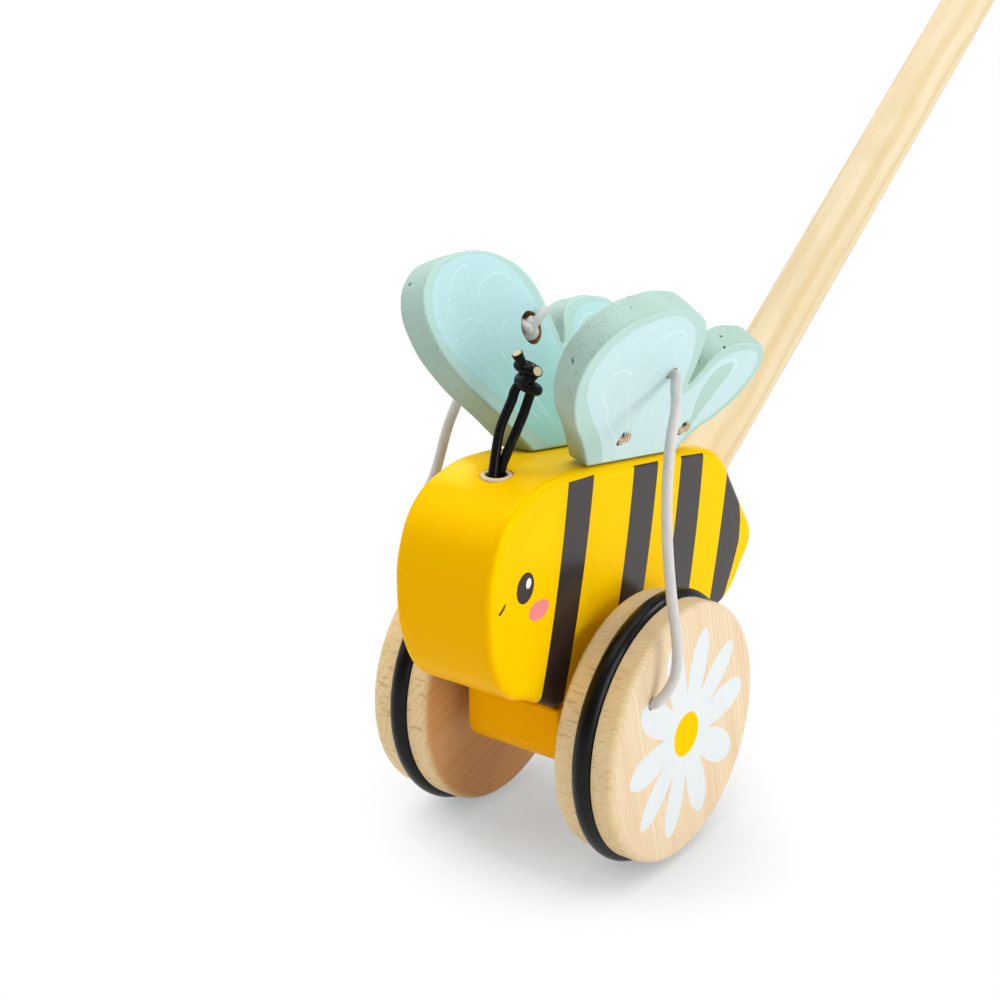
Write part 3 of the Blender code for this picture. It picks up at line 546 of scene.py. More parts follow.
# %% Pale cores in the cut ends
CORE_RADIUS = 1.3
CORE_DEPTH = 1.5
CORE_PROUD = 0.25
cores = []
for index, (start, end) in enumerate(STUBS):
    tip = Vector(end)
    way = (tip - Vector(start)).normalized()
    core = cut_end(f"core {index}", tip - way * CORE_DEPTH, tip + way * CORE_PROUD, CORE_RADIUS)
    cores.append(rounded(core, 0.2, 3, 60))
antenna_cores = joined(cores, "antenna-cut-ends")
print("cores stand", CORE_PROUD, "mm out of the cord")

# %% [markdown]
# ## The body
# The plank's outline starts at the belly, goes round the head, along the falling back and down the
# tail, whose flat end is square to the handle. Its long edges are rounded by 3 mm. The same outline
# points as in the CAD give the same silhouette, with a finer curve between them. Then the plank is
# bored for the handle, the antenna's bush and the screw that locks the handle.

# %% Body
BODY_OUTLINE = (
    (-31.04, 12.20), (-45.93, 21.00), (-57.55, 26.81), (-65.14, 38.51), (-68.59, 56.50), (-66.55, 73.94),
    (-57.88, 87.09), (-42.50, 92.98), (-24.01, 92.90), (-14.02, 91.15), (43.19, 81.14), (53.18, 79.39),
    (68.26, 73.94), (74.90, 67.66), (79.06, 61.68), (85.60, 52.29), (89.76, 46.32), (95.58, 34.55),
    (89.20, 24.47), (79.39, 15.11), (70.06, 12.20))
BODY_WIDTH = 38.0
body = drawn("bee-body", BODY_OUTLINE, (0, len(BODY_OUTLINE) - 1), BODY_WIDTH)
placed(body, Matrix.Translation(AXLE))
rounded(body, 3.0, 6)

# %% The body's bores
HANDLE_RISE = 34.85
HANDLE_START = Vector((0, 44.99, 30.99))
HANDLE_WAY = Vector((0, cos(radians(HANDLE_RISE)), sin(radians(HANDLE_RISE))))
SOCKET_RADIUS = 10.2
BUSH_BORE = 5.35
SCREW_ALONG = 58.99
SCREW_RECESS = 4.3
SCREW_BORE = 2.3
UP = Vector((0, 0, 1))
bore(body, "socket", HANDLE_START - HANDLE_WAY * 0.3, HANDLE_START + HANDLE_WAY * 60, SOCKET_RADIUS, 96)
bore(body, "bush hole", BUSH_TOP - UP * 12.3, BUSH_TOP + UP * 3, BUSH_BORE, 64)
bore(body, "screw recess", (0, SCREW_ALONG, 10), (0, SCREW_ALONG, 17.1), SCREW_RECESS, 48)
bore(body, "screw hole", (0, SCREW_ALONG, 17), (0, SCREW_ALONG, 32), SCREW_BORE, 24)
smooth(body)
print("body:", len(body.data.polygons), "faces")

# %% [markdown]
# ## The axle block
# A short bar under the belly holds the axle. Its lower long edges have a large round, which is a wide
# bevel on two edges of a box, and the rest are only softened.

# %% Axle block
BLOCK_SIZE = (37.4, 61.6, 22.0)
BLOCK_BOTTOM = -10.1
BLOCK_ROUND = 8.5
bpy.ops.object.select_all(action="DESELECT")
bpy.ops.mesh.primitive_cube_add(size=1, location=at(0, 0, BLOCK_BOTTOM + BLOCK_SIZE[2] / 2))
block = named("bee-axle-block")
block.scale = [size * MM for size in BLOCK_SIZE]
settled(block)
bpy.ops.object.mode_set(mode="EDIT")
shape = bmesh.from_edit_mesh(block.data)
for edge in shape.edges:
    low = max(vertex.co.z for vertex in edge.verts) < AXLE.z
    lies_across = abs(edge.verts[0].co.x - edge.verts[1].co.x) > 0.01
    edge.select_set(low and lies_across)
bmesh.update_edit_mesh(block.data)
bpy.ops.mesh.bevel(offset=BLOCK_ROUND * MM, segments=14)
bpy.ops.object.mode_set(mode="OBJECT")
rounded(block, 1.2, 4, 60)
AXLE_BORE = 5.3
bore(block, "axle bore", (-25, 0, 0), (25, 0, 0), AXLE_BORE, 64)
smooth(block)
print("axle block:", len(block.data.polygons), "faces")

# %% [markdown]
# ## The wheels
# Each wheel is turned from beech: a thick disc with softened rims and a round groove that seats the
# tyre, a plain rubber ring. Half of its section is drawn once and spun round the axle. The cord's hole
# comes next, with a wider recess for its knot on the inner face. The right wheel and tyre are mirrored
# copies.

# %% Wheels
WHEEL_INNER_FACE = 25.9
WHEEL_THICKNESS = WHEEL_FACE - WHEEL_INNER_FACE
WHEEL_RADIUS = 45.0
WHEEL_EDGE = 2.6
RING_RADIUS = 43.9      # from the axle to the middle of the tyre's round section
RING_DEPTH = 11.9       # from the wheel's outer face in to the same place
GROOVE_SECTION = 3.75
GROOVE_HEIGHT = WHEEL_THICKNESS - RING_DEPTH
AXLE_SEAT = 14.3
profile = [(0, WHEEL_THICKNESS)]
profile += arc((WHEEL_RADIUS - WHEEL_EDGE, WHEEL_THICKNESS - WHEEL_EDGE), WHEEL_EDGE, 90, 0, 8)
profile += arc((RING_RADIUS, GROOVE_HEIGHT), GROOVE_SECTION, 73.2, 286.8, 20)
profile += arc((WHEEL_RADIUS - WHEEL_EDGE, WHEEL_EDGE), WHEEL_EDGE, 0, -90, 8)
profile += [(AXLE_BORE, 0), (AXLE_BORE, AXLE_SEAT), (0, AXLE_SEAT)]
wheel = turned("bee-wheel-left", profile, at(WHEEL_INNER_FACE, 0, 0), (1, 0, 0), 144)
CORD_BORE = 2.15
KNOT_RECESS = 5.7
bore(wheel, "cord hole", (20, *CORD_HOLE), (60, *CORD_HOLE), CORD_BORE, 32)
bore(wheel, "knot recess", (20, *CORD_HOLE), (35.9, *CORD_HOLE), KNOT_RECESS, 48)
smooth(wheel, 30)
print("wheel:", 2 * WHEEL_RADIUS, "mm across and", round(WHEEL_THICKNESS, 1), "mm thick")

# %% Tyres and the right side
TYRE_SECTION = 3.45
tyre_ring = arc((RING_RADIUS, 0), TYRE_SECTION, 180, -180, 28)
tyre = turned("bee-tyre-left", tyre_ring, at(WHEEL_FACE - RING_DEPTH, 0, 0), (1, 0, 0), 144)
smooth(tyre, 60)
wheels = {"left": wheel, "right": copied(wheel, "bee-wheel-right", over_the_middle)}
tyres = {"left": tyre, "right": copied(tyre, "bee-tyre-right", over_the_middle)}
print("tyre:", round(2 * (RING_RADIUS + TYRE_SECTION), 1), "mm across")

# %% [markdown]
# ## The handle, the bush and the screw
# The handle is a plain 20 mm dowel with a rounded top, much longer than the photograph shows. The
# bush is a small turned ring whose top edges are barely softened, and the antenna stands in it. The
# screw in the belly locks the handle in its socket, and its driver slot is a thin box cut out of it.

# %% Handle and bush
HANDLE_RADIUS = 9.9
HANDLE_LENGTH = 500.0
HANDLE_CHAMFER = 1.0
profile = arc((0, HANDLE_LENGTH - HANDLE_RADIUS), HANDLE_RADIUS, 90, 0, 14)
profile += [(HANDLE_RADIUS, HANDLE_CHAMFER), (HANDLE_RADIUS - HANDLE_CHAMFER, 0), (0, 0)]
handle = turned("bee-handle", profile, at(*HANDLE_START), HANDLE_WAY, 96)
smooth(handle, 40)
profile = [
    (3.55, -0.2), (3.75, 0), (4.8, 0), (5.05, -0.1), (5.2, -0.4), (5.2, -12), (3.55, -12), (3.55, -0.2)]
bush = smooth(turned("bee-antenna-bush", profile, at(*BUSH_TOP), UP, 64), 50)
print("handle:", HANDLE_LENGTH, "mm long, bush:", len(bush.data.polygons), "faces")

# %% Screw
SCREW_HEAD = at(0, SCREW_ALONG, 14.2)
profile = [
    (0, 30.6), (0.6, 30.6), (2.0, 26.6), (2.0, 2.6), (4.0, 2.6), (4.0, 1.3), (3.8, 0.6), (3.2, 0.15), (0, 0)]
screw = turned("bee-handle-screw", profile, SCREW_HEAD, UP, 64)
bpy.ops.mesh.primitive_cube_add(size=1, location=SCREW_HEAD)
slot = named("slot")
slot.scale = (0.009, 0.001, 0.002)
cut(screw, settled(slot))
smooth(screw, 40)
print("screw:", len(screw.data.polygons), "faces")

# %% [markdown]
# ## The wings
# A wing is a 10 mm board with two lobes. It is drawn flat, its foot is cut off at a slant on which it
# can stand, its edges are softened, and it is bored for its pull cord and ties. It is made once in
# its own frame, mirrored for the other side, and then each is leaned by its own angle, which the
# photograph shows: the left one stands wider open than the right one.

# %% Wing frames
TOP_FALL = 9.93         # degrees that the back falls towards the tail
FOOT_TILT = 19.5        # degrees of lean at which a wing stands flat on its foot
TILTS = {"left": 29.1, "right": 19.5}
OUTER_FACE = 1.0        # mm from a wing's hinge out to its outer face
HINGES = {}
for joint in frame["joints"]:
    if "flap" in joint["name"]:
        word = joint["name"].split("_")[1]
        HINGES[word] = Vector(joint["pos_m"])
        print(f"{word} wing's hinge:", [round(value / MM, 1) for value in HINGES[word]])


def wing_frame(word, tilt=None):
    """A wing's place: its X is across the board, its Y along the hinge and its Z up the wing."""
    lean = SIDES[word] * radians(TILTS[word] if tilt is None else tilt)
    turn = Matrix.Rotation(-radians(TOP_FALL), 4, "X") @ Matrix.Rotation(lean, 4, "Y")
    return Matrix.Translation(HINGES[word]) @ turn


def wing_place(word, across, along, up):
    """A place on a wing in metres, from mm off its hinge; across is outwards from the outer face."""
    return wing_frame(word) @ (Vector((SIDES[word] * (OUTER_FACE + across), along, up)) * MM)


# %% [markdown]
# The foot is cut off by a bisecting plane with its cut filled in. The sawn edges get a material slot
# of their own, because their open pores take the paint another way than the planed faces do.

# %% Wing board
WING_OUTLINE = (
    (14.0, -6.8), (-3.9, 8.6), (-21.6, 22.8), (-31.4, 36.3), (-33.2, 47.5), (-27.0, 56.9), (-14.0, 61.9),
    (1.5, 63.1), (15.5, 60.3), (26.3, 54.3), (34.0, 42.9), (38.0, 33.5), (39.4, 30.5), (41.1, 33.3),
    (43.7, 41.7), (50.5, 45.7), (63.0, 46.4), (75.9, 43.5), (83.2, 35.7), (83.1, 24.0), (76.5, 13.8),
    (66.8, 7.3), (63.5, 1.2), (61.5, -6.8))
WING_THICKNESS = 10.0
wing = drawn("bee-wing-left", WING_OUTLINE, (0, len(WING_OUTLINE) - 1), WING_THICKNESS)
placed(wing, Matrix.Translation(Vector((OUTER_FACE - WING_THICKNESS / 2, 0, 0)) * MM))
foot_down = Matrix.Rotation(-radians(FOOT_TILT), 4, "Y") @ -UP
pick(wing)
bpy.ops.object.mode_set(mode="EDIT")
bpy.ops.mesh.select_all(action="SELECT")
bpy.ops.mesh.bisect(plane_co=foot_down * MM, plane_no=foot_down, use_fill=True, clear_outer=True)
bpy.ops.object.mode_set(mode="OBJECT")

# %% Slots for the wing's faces and sawn edges
wing.data.materials.append(None)
wing.data.materials.append(None)
pick(wing)
bpy.ops.object.mode_set(mode="EDIT")
bpy.ops.mesh.select_all(action="DESELECT")
shape = bmesh.from_edit_mesh(wing.data)
shape.normal_update()
for face in shape.faces:
    face.select_set(abs(face.normal.x) < 0.9)
bmesh.update_edit_mesh(wing.data)
wing.active_material_index = 1
bpy.ops.object.material_slot_assign()
bpy.ops.object.mode_set(mode="OBJECT")
rounded(wing, 1.0, 4)
print("wing:", len(wing.data.polygons), "faces before boring")

# %% [markdown]
# ## Painted and natural wood, rubber, cord and ink
# Each finish starts from what the real one is. One function turns the sRGB hex colours into the
# linear values that shaders use, and another adds a node with its settings and links. A pattern's
# scale is worked out from the size that its grains have on the real thing.


# %% Material helpers
def linear(code):
    """An sRGB hex colour as linear red, green, blue and alpha."""
    values = [int(code[start:start + 2], 16) / 255 for start in (0, 2, 4)]
    return tuple(v / 12.92 if v <= 0.04045 else ((v + 0.055) / 1.055) ** 2.4 for v in values) + (1.0,)


def every(size):
    """The scale, in whole grains to the metre, of a pattern whose grains are this many mm across."""
    return round(1 / (size * MM))


def add(tree, kind, inputs=None, **settings):
    """Add one shader node with its settings; an input is a value, a hex colour or a node's output."""
    made = tree.nodes.new("ShaderNode" + kind)
    for name, value in settings.items():
        setattr(made, name, value)
    for name, source in (inputs or {}).items():
        if isinstance(source, bpy.types.NodeSocket):
            tree.links.new(source, made.inputs[name])
        else:
            made.inputs[name].default_value = linear(source) if isinstance(source, str) else source
    return made


def new_finish(name, **constants):
    """A new material with its Principled shader's constant sockets set."""
    made = bpy.data.materials.new(name)
    made.use_nodes = True
    shader = made.node_tree.nodes["Principled BSDF"]
    for socket, value in constants.items():
        shader.inputs[socket.replace("_", " ")].default_value = value
    return made, made.node_tree, shader


def surfaced(made, colour, height, strength, depth):
    """Give a finish its colour and its relief, whose depth is in mm."""
    tree = made.node_tree
    shader = tree.nodes["Principled BSDF"]
    relief = add(tree, "Bump", {"Height": height, "Strength": strength, "Distance": depth * MM})
    tree.links.new(colour, shader.inputs["Base Color"])
    tree.links.new(relief.outputs[0], shader.inputs["Normal"])
    return made


print("grains of 2 mm need a scale of", every(2))

# %% [markdown]
# Beech is pale and close-grained. Its growth rings meet the surface as slightly darker lines a few
# millimetres apart, the fibres are fine streaks along the grain, and across the grain the rays show
# as short brown flecks. So a pattern of rings stands round the tree's heart, which lies off the
# piece, and noises stretched along the grain bend it and streak it. In each Mix node below, input 0
# is the factor and 6 and 7 are the colours. In each Map Range, 0 is the value, which 1 and 2 bound,
# and 4 is what it rises to.

# %% Beech
FIBRE_STRETCH = 0.045   # a fibre's width over its length
RING_WAVE = 0.314       # metres between the rings of a wave pattern at scale 1
WAVER = 0.0055          # metres that the rings may wander


def with_rays(tree, here, grain, tone, flecks):
    """The rim of a turned disc, a little warmer, with the ray flecks that show there alone."""
    across = add(tree, "Mapping", {0: grain, 3: (0.10, 0.35, 1.0)}).outputs[0]
    rays = add(tree, "TexNoise", {"Vector": across, "Scale": every(0.769), "Detail": 2.0}).outputs[0]
    facing = add(tree, "VectorMath", {
        0: here.outputs["Normal"], 1: (0.0, 1.0, 0.0)}, operation="DOT_PRODUCT").outputs["Value"]
    facing = add(tree, "Math", {0: facing}, operation="ABSOLUTE").outputs[0]
    warm = add(tree, "MapRange", {0: facing, 1: 0.3, 2: 0.8, 4: 0.6}).outputs[0]
    tone = add(tree, "Mix", {0: warm, 6: tone, 7: "F6D89A"}, data_type="RGBA").outputs[2]
    fleck = add(tree, "MapRange", {0: rays, 1: 0.56, 2: 0.70, 4: flecks}).outputs[0]
    on_rim = add(tree, "MapRange", {0: facing, 1: 0.45, 2: 0.8}).outputs[0]
    spots = add(tree, "Math", {0: fleck, 1: on_rim}, operation="MULTIPLY").outputs[0]
    return add(tree, "Mix", {0: spots, 6: tone, 7: "B48A50"}, data_type="RGBA").outputs[2]


def beech(name, turn, heart, pale, dark, ring, depth, flecks=0.0, shaded=None, sway=FIBRE_STRETCH):
    """Beech whose grain runs along Z once turned; heart is how far off the tree's middle lies, in mm."""
    made, tree, _ = new_finish(name, Roughness=0.52, IOR=1.5)
    here = add(tree, "TexCoord")
    offset = [value * MM for value in heart]
    grain = add(tree, "Mapping", {0: here.outputs["Object"], 1: offset, 2: turn}).outputs[0]
    fibre_way = add(tree, "Mapping", {0: grain, 3: (1.0, 1.0, FIBRE_STRETCH)}).outputs[0]
    sway_way = add(tree, "Mapping", {0: grain, 3: (1.0, 1.0, sway)}).outputs[0]
    waver = add(tree, "TexNoise", {"Vector": sway_way, "Scale": every(16.7), "Detail": 2.0})
    drift = add(tree, "VectorMath", {
        0: waver.outputs["Color"], 1: (WAVER, WAVER, 0.0)}, operation="MULTIPLY").outputs[0]
    bent = add(tree, "VectorMath", {0: grain, 1: drift}, operation="ADD").outputs[0]
    rings = add(tree, "TexWave", {
        "Vector": bent, "Scale": RING_WAVE / (ring * MM), "Distortion": 0.6,
        "Detail": 1.0, "Detail Scale": 1.5},
        wave_type="RINGS", rings_direction="Z", wave_profile="SIN").outputs["Fac"]
    fibres = add(tree, "TexNoise", {"Vector": fibre_way, "Scale": every(1.111), "Detail": 3.0}).outputs[0]
    streaks = add(tree, "TexNoise", {"Vector": fibre_way, "Scale": every(5.88), "Detail": 2.0}).outputs[0]
    tone = pale
    for lines, low, high, share in (
            (rings, 0.4, 1.0, depth), (streaks, 0.42, 0.75, 0.5), (fibres, 0.5, 0.8, 0.3)):
        there = add(tree, "MapRange", {0: lines, 1: low, 2: high, 4: share}).outputs[0]
        tone = add(tree, "Mix", {0: there, 6: tone, 7: dark}, data_type="RGBA").outputs[2]
    if flecks:
        tone = with_rays(tree, here, grain, tone, flecks)
    # Painted shade: faces turned towards +X take the shaded colour.
    if shaded:
        inward = add(tree, "SeparateXYZ", {0: here.outputs["Normal"]}).outputs[0]
        inside = add(tree, "MapRange", {0: inward, 1: 0.6, 2: 0.95, 4: 0.75}).outputs[0]
        tone = add(tree, "Mix", {0: inside, 6: tone, 7: shaded}, data_type="RGBA").outputs[2]
    return surfaced(made, tone, fibres, 0.12, 0.15)


# %% [markdown]
# The left wheel's grain stands nearly upright, and the right wheel's lies along the push. The right
# one's inner face, which is seen under the body, gets a deeper orange: painted shade with painted light
# bounced off the yellow body. The dowel is cut nearer to the tree's heart, so its rings run out of it
# in long lobes: they are wider, and their waver is stretched less. The walls of a bore are raw wood,
# coloured a darker brown that also paints the shade inside the holes.

# %% The four beeches
wheel_beech = beech(
    "Turned beech, clear matt varnish", (radians(-14), 0, 0), (0, 96, 0), "E6D2B0", "D6AE82", 1.5, 0.4, 0.5)
# The right wheel's inner face gets painted shade and painted bounce light from the yellow body.
right_beech = beech(
    "Turned beech of the right wheel, redder on its inner face", (radians(73), 0, 0), (0, 96, 0),
    "EAD5B2", "D0A672", 2.4, 0.6, 0.55, "D99E55")
handle_beech = beech(
    "Beech dowel, sanded", (radians(90 - HANDLE_RISE), 0, 0), (14, 10, 0), "E1CFAA", "D1B680", 5.5, 0.48,
    sway=0.34)
# The bore walls' darker brown is raw wood together with painted shade inside the holes.
raw_beech = beech("Raw beech inside a bore", (0, 0, 0), (0, 60, 0), "C39C68", "94703F", 2.0, 0.6)
print("beech finishes:", [made.name for made in (wheel_beech, right_beech, handle_beech, raw_beech)])

# %% [markdown]
# The bee's stripes are sprayed over its paint through a stencil, so they are part of the same paint,
# and no piece of their own. Each stripe is a patch between lines on the plank's side faces, all
# bowed a little backwards, and it wraps just round the rounded edges. A line splits the plane in two,
# and a stripe is where all its lines say yes.

# %% Stripes
STRIPES = (
    ((-41.2, 20.2), (-26.6, 90.5), (-11.9, 88.8), (-29.1, 12.1)),
    ((4.3, 39.4), (12.0, 85.0), (27.4, 82.4), (20.0, 38.9)),
    ((38.6, 52.0), (42.4, 79.9), (57.6, 76.9), (50.5, 27.6)),
    ((65.9, 19.6), (74.9, 65.8), (84.8, 51.1), (86.1, 43.0), (85.6, 35.0), (82.5, 27.9), (74.2, 12.9)),
)
STRIPE_BOW = 1.5        # mm that a stripe's middle bows backwards
BOW_MIDDLE = 55         # mm above the axle
BOW_REACH = 35          # mm up and down from there to where a stripe has its drawn place
STRIPE_EDGE = 0.00012   # metres that a stripe's edge takes to come up
STRIPE_WRAP = 16.6      # mm off the plank's middle where the stripes begin


def bow(up):
    """How far, in mm, a stripe bows backwards at a height above the axle."""
    return STRIPE_BOW * (1 - ((up - BOW_MIDDLE) / BOW_REACH) ** 2)


def beyond(tree, place, one, other):
    """1 to the right of a line through two points of the bowed YZ plane, in mm off the axle's middle."""
    low, high = [at(0, along - bow(up), up) for along, up in (one, other)]
    along = high - low
    across = Vector((0, along.z, -along.y)).normalized()
    reach = add(tree, "VectorMath", {0: place, 1: across}, operation="DOT_PRODUCT").outputs["Value"]
    limit = low.y * across.y + low.z * across.z
    return add(tree, "MapRange", {0: reach, 1: limit, 2: limit + STRIPE_EDGE}).outputs[0]


def stencil(tree, place, stripes):
    """1 on the stripes and 0 off them."""
    split = add(tree, "SeparateXYZ", {0: place})
    low, high = AXLE.z + (BOW_MIDDLE - BOW_REACH) * MM, AXLE.z + (BOW_MIDDLE + BOW_REACH) * MM
    up = add(tree, "MapRange", {0: split.outputs[2], 1: low, 2: high, 4: 2.0}, clamp=False).outputs[0]
    up = add(tree, "Math", {0: up, 1: 1.0}, operation="SUBTRACT").outputs[0]
    square = add(tree, "Math", {0: up, 1: 2.0}, operation="POWER").outputs[0]
    shift = add(tree, "Math", {
        0: square, 1: STRIPE_BOW * MM, 2: -STRIPE_BOW * MM}, operation="MULTIPLY_ADD").outputs[0]
    bowed = add(tree, "Math", {0: split.outputs[1], 1: shift}, operation="ADD").outputs[0]
    place = add(tree, "CombineXYZ", {0: split.outputs[0], 1: bowed, 2: split.outputs[2]}).outputs[0]
    there = None
    for corners in stripes:
        parts = [beyond(tree, place, *pair) for pair in zip(corners, corners[1:])]
        band = parts[0]
        for part in parts[1:]:
            band = add(tree, "Math", {0: band, 1: part}, operation="MINIMUM").outputs[0]
        if there is not None:
            band = add(tree, "Math", {0: band, 1: there}, operation="MAXIMUM").outputs[0]
        there = band
    beside = add(tree, "Math", {0: split.outputs[0]}, operation="ABSOLUTE").outputs[0]
    wrap = add(tree, "MapRange", {0: beside, 1: STRIPE_WRAP * MM, 2: (STRIPE_WRAP + 0.2) * MM}).outputs[0]
    return add(tree, "Math", {0: there, 1: wrap}, operation="MULTIPLY").outputs[0]


print("a stripe bows", [round(bow(up), 2) for up in (20, 55, 90)], "mm from low to high")

# %% [markdown]
# The paint is a satin lacquer, sprayed thick enough to hide the grain, with a faint orange peel. On
# the plank's edges a deeper colour is painted shade, least where they face up, so the colour is mixed
# by the way that the surface faces. The bee's nose shows a soft band of light that is yellow, not white.
# A tinted, very low gloss and a trace of Metallic give it that, and the stripes keep a plain gloss.

# %% Yellow lacquer
BARE_GLOSS = 0.025
STRIPE_GLOSS = 0.5
LACQUER_TINT = "FFDE70"


def satin_paint(name, colour, dip, edge, stripes=()):
    """Satin paint on wood: faint orange peel, thinner patches, and painted shade on the plank's edges."""
    made, tree, shader = new_finish(
        name, Roughness=0.27, IOR=1.47, Specular_IOR_Level=BARE_GLOSS, Metallic=0.07,
        Specular_Tint=linear(LACQUER_TINT))
    here = add(tree, "TexCoord")
    place = here.outputs["Object"]
    facing = add(tree, "SeparateXYZ", {0: here.outputs["Normal"]})
    sideways = add(tree, "Math", {0: facing.outputs[0]}, operation="ABSOLUTE").outputs[0]
    peel = add(tree, "TexNoise", {"Vector": place, "Scale": every(2.38), "Detail": 2.0}).outputs[0]
    patches = add(tree, "TexNoise", {"Vector": place, "Scale": every(35.7), "Detail": 3.0}).outputs[0]
    thin = add(tree, "MapRange", {0: patches, 1: 0.35, 2: 0.75, 4: 0.5}).outputs[0]
    tone = add(tree, "Mix", {0: thin, 6: colour, 7: dip}, data_type="RGBA").outputs[2]
    # Painted shade: the plank's edges take the deeper edge colour, and the dip colour where they face up.
    upward = add(tree, "MapRange", {0: facing.outputs[2], 1: 0.1, 2: 0.8}).outputs[0]
    rim = add(tree, "Mix", {0: upward, 6: edge, 7: dip}, data_type="RGBA").outputs[2]
    edge_shade_share = add(tree, "MapRange", {0: sideways, 1: 0.95, 2: 0.5}).outputs[0]
    tone = add(tree, "Mix", {0: edge_shade_share, 6: tone, 7: rim}, data_type="RGBA").outputs[2]
    if stripes:
        there = stencil(tree, place, stripes)
        tone = add(tree, "Mix", {0: there, 6: tone, 7: "2A2221"}, data_type="RGBA").outputs[2]
        gloss = add(tree, "Math", {
            0: there, 1: STRIPE_GLOSS - BARE_GLOSS, 2: BARE_GLOSS}, operation="MULTIPLY_ADD").outputs[0]
        tint = add(tree, "Mix", {0: there, 6: LACQUER_TINT, 7: "FFFFFF"}, data_type="RGBA").outputs[2]
        tree.links.new(gloss, shader.inputs["Specular IOR Level"])
        tree.links.new(tint, shader.inputs["Specular Tint"])
    return surfaced(made, tone, peel, 0.10, 0.10)


striped_paint = satin_paint(
    "Yellow satin lacquer with stencilled stripes", "FDCC00", "FBC600", "FBBA00", STRIPES)
plain_paint = satin_paint("Yellow satin lacquer", "F9B900", "F6B300", "FAB000")
print("striped lacquer:", len(striped_paint.node_tree.nodes), "nodes")

# %% [markdown]
# The wings have a thin matt paint that leaves the wood's open pores showing as small dark pits, most
# of all on the sawn edges. A pit is a cell of a Voronoi pattern. Only a few cells have one, chosen by
# their random colour, and only inside the clumps of a wider noise. A fine grit lies between them.

# %% Matt wing paint
FOOT_SHADE_FROM = 0.184       # metres above the floor, where the painted shade begins
FOOT_SHADE_AT = 0.146         # metres above the floor, at the wing's foot


def painted_foot_shade(tree, place, tone, foot_shade):
    """Painted shade: the colour darkens towards the wing's foot."""
    height = add(tree, "SeparateXYZ", {0: place}).outputs[2]
    low = add(tree, "MapRange", {0: height, 1: FOOT_SHADE_FROM, 2: FOOT_SHADE_AT}).outputs[0]
    return add(tree, "Mix", {0: low, 6: tone, 7: foot_shade}, data_type="RGBA").outputs[2]


def pored_paint(name, colour, dip, foot_shade, pore, rarity):
    """Matt paint over open pores: the pits are stretched along the board's grain."""
    made, tree, _ = new_finish(name, Roughness=0.62, IOR=1.45, Specular_IOR_Level=0.3)
    place = add(tree, "TexCoord").outputs["Object"]
    grain = add(tree, "Mapping", {0: place, 2: (0.35, 0.3, 0.0), 3: (1.0, 1.0, 0.38)}).outputs[0]
    cells = add(tree, "TexVoronoi", {"Vector": grain, "Scale": every(3.03), "Randomness": 1.0})
    chosen = add(tree, "SeparateColor", {0: cells.outputs["Color"]}).outputs[0]
    clumps = add(tree, "TexNoise", {"Vector": place, "Scale": every(22.2), "Detail": 1.0}).outputs[0]
    cloud = add(tree, "TexNoise", {"Vector": place, "Scale": every(16.7), "Detail": 4.0}).outputs[0]
    grit = add(tree, "TexNoise", {"Vector": grain, "Scale": every(0.5263), "Detail": 2.0}).outputs[0]
    near = add(tree, "MapRange", {0: cells.outputs["Distance"], 1: 0.24, 2: 0.14}).outputs[0]
    rare = add(tree, "MapRange", {0: chosen, 1: rarity, 2: rarity + 0.05}).outputs[0]
    some = add(tree, "MapRange", {0: clumps, 1: 0.48, 2: 0.58}).outputs[0]
    pits = add(tree, "Math", {0: near, 1: rare}, operation="MULTIPLY").outputs[0]
    pits = add(tree, "Math", {0: pits, 1: some}, operation="MULTIPLY").outputs[0]
    thin = add(tree, "MapRange", {0: cloud, 1: 0.35, 2: 0.7, 4: 0.5}).outputs[0]
    tone = add(tree, "Mix", {0: thin, 6: colour, 7: dip}, data_type="RGBA").outputs[2]
    # Painted shade towards the wing's foot.
    tone = painted_foot_shade(tree, place, tone, foot_shade)
    for low, high, share, speck in ((0.5, 0.75, 1 - rarity, dip), (0.64, 0.76, 2 * (1 - rarity), pore)):
        there = add(tree, "MapRange", {0: grit, 1: low, 2: high, 4: share}).outputs[0]
        tone = add(tree, "Mix", {0: there, 6: tone, 7: speck}, data_type="RGBA").outputs[2]
    tone = add(tree, "Mix", {0: pits, 6: tone, 7: pore}, data_type="RGBA").outputs[2]
    lift = add(tree, "Math", {0: 1.0, 1: pits}, operation="SUBTRACT").outputs[0]
    return surfaced(made, tone, lift, 0.5, 0.25)


wing_paint = pored_paint("Pale green matt wash", "B7D7D0", "B0D0C8", "B0D0C8", "33524A", 0.965)
edge_paint = pored_paint("Pale green matt wash over open pores", "B0CCC2", "9DBBAF", "9DB7A9", "2B453C", 0.70)
print("wing paints:", wing_paint.name, "and", edge_paint.name)

# %% [markdown]
# The prints are screen ink, a thin opaque film that follows a trace of the wood's grain. The inks of
# the wings' inner faces darken towards the foot with painted shade, as the paint round them does. The
# petals are a cool white, and the eye's highlight a brighter one, because it is so small that a pale
# grey would be lost.

# %% Screen inks
def flat_ink(name, colour, second, roughness=0.5, gloss=0.4, foot_shade=None):
    """Screen-print ink: a thin opaque film that follows a trace of the wood's grain."""
    made, tree, _ = new_finish(name, Roughness=roughness, IOR=1.45, Specular_IOR_Level=gloss)
    place = add(tree, "TexCoord").outputs["Object"]
    grain = add(tree, "Mapping", {0: place, 3: (1.0, 1.0, 0.06)}).outputs[0]
    film = add(tree, "TexNoise", {"Vector": grain, "Scale": every(2), "Detail": 2.0}).outputs[0]
    thin = add(tree, "MapRange", {0: film, 1: 0.4, 2: 0.75, 4: 0.7}).outputs[0]
    tone = add(tree, "Mix", {0: thin, 6: colour, 7: second}, data_type="RGBA").outputs[2]
    # The inner faces' inks get painted shade towards the wing's foot.
    if foot_shade:
        tone = painted_foot_shade(tree, place, tone, foot_shade)
    return surfaced(made, tone, film, 0.08, 0.08)


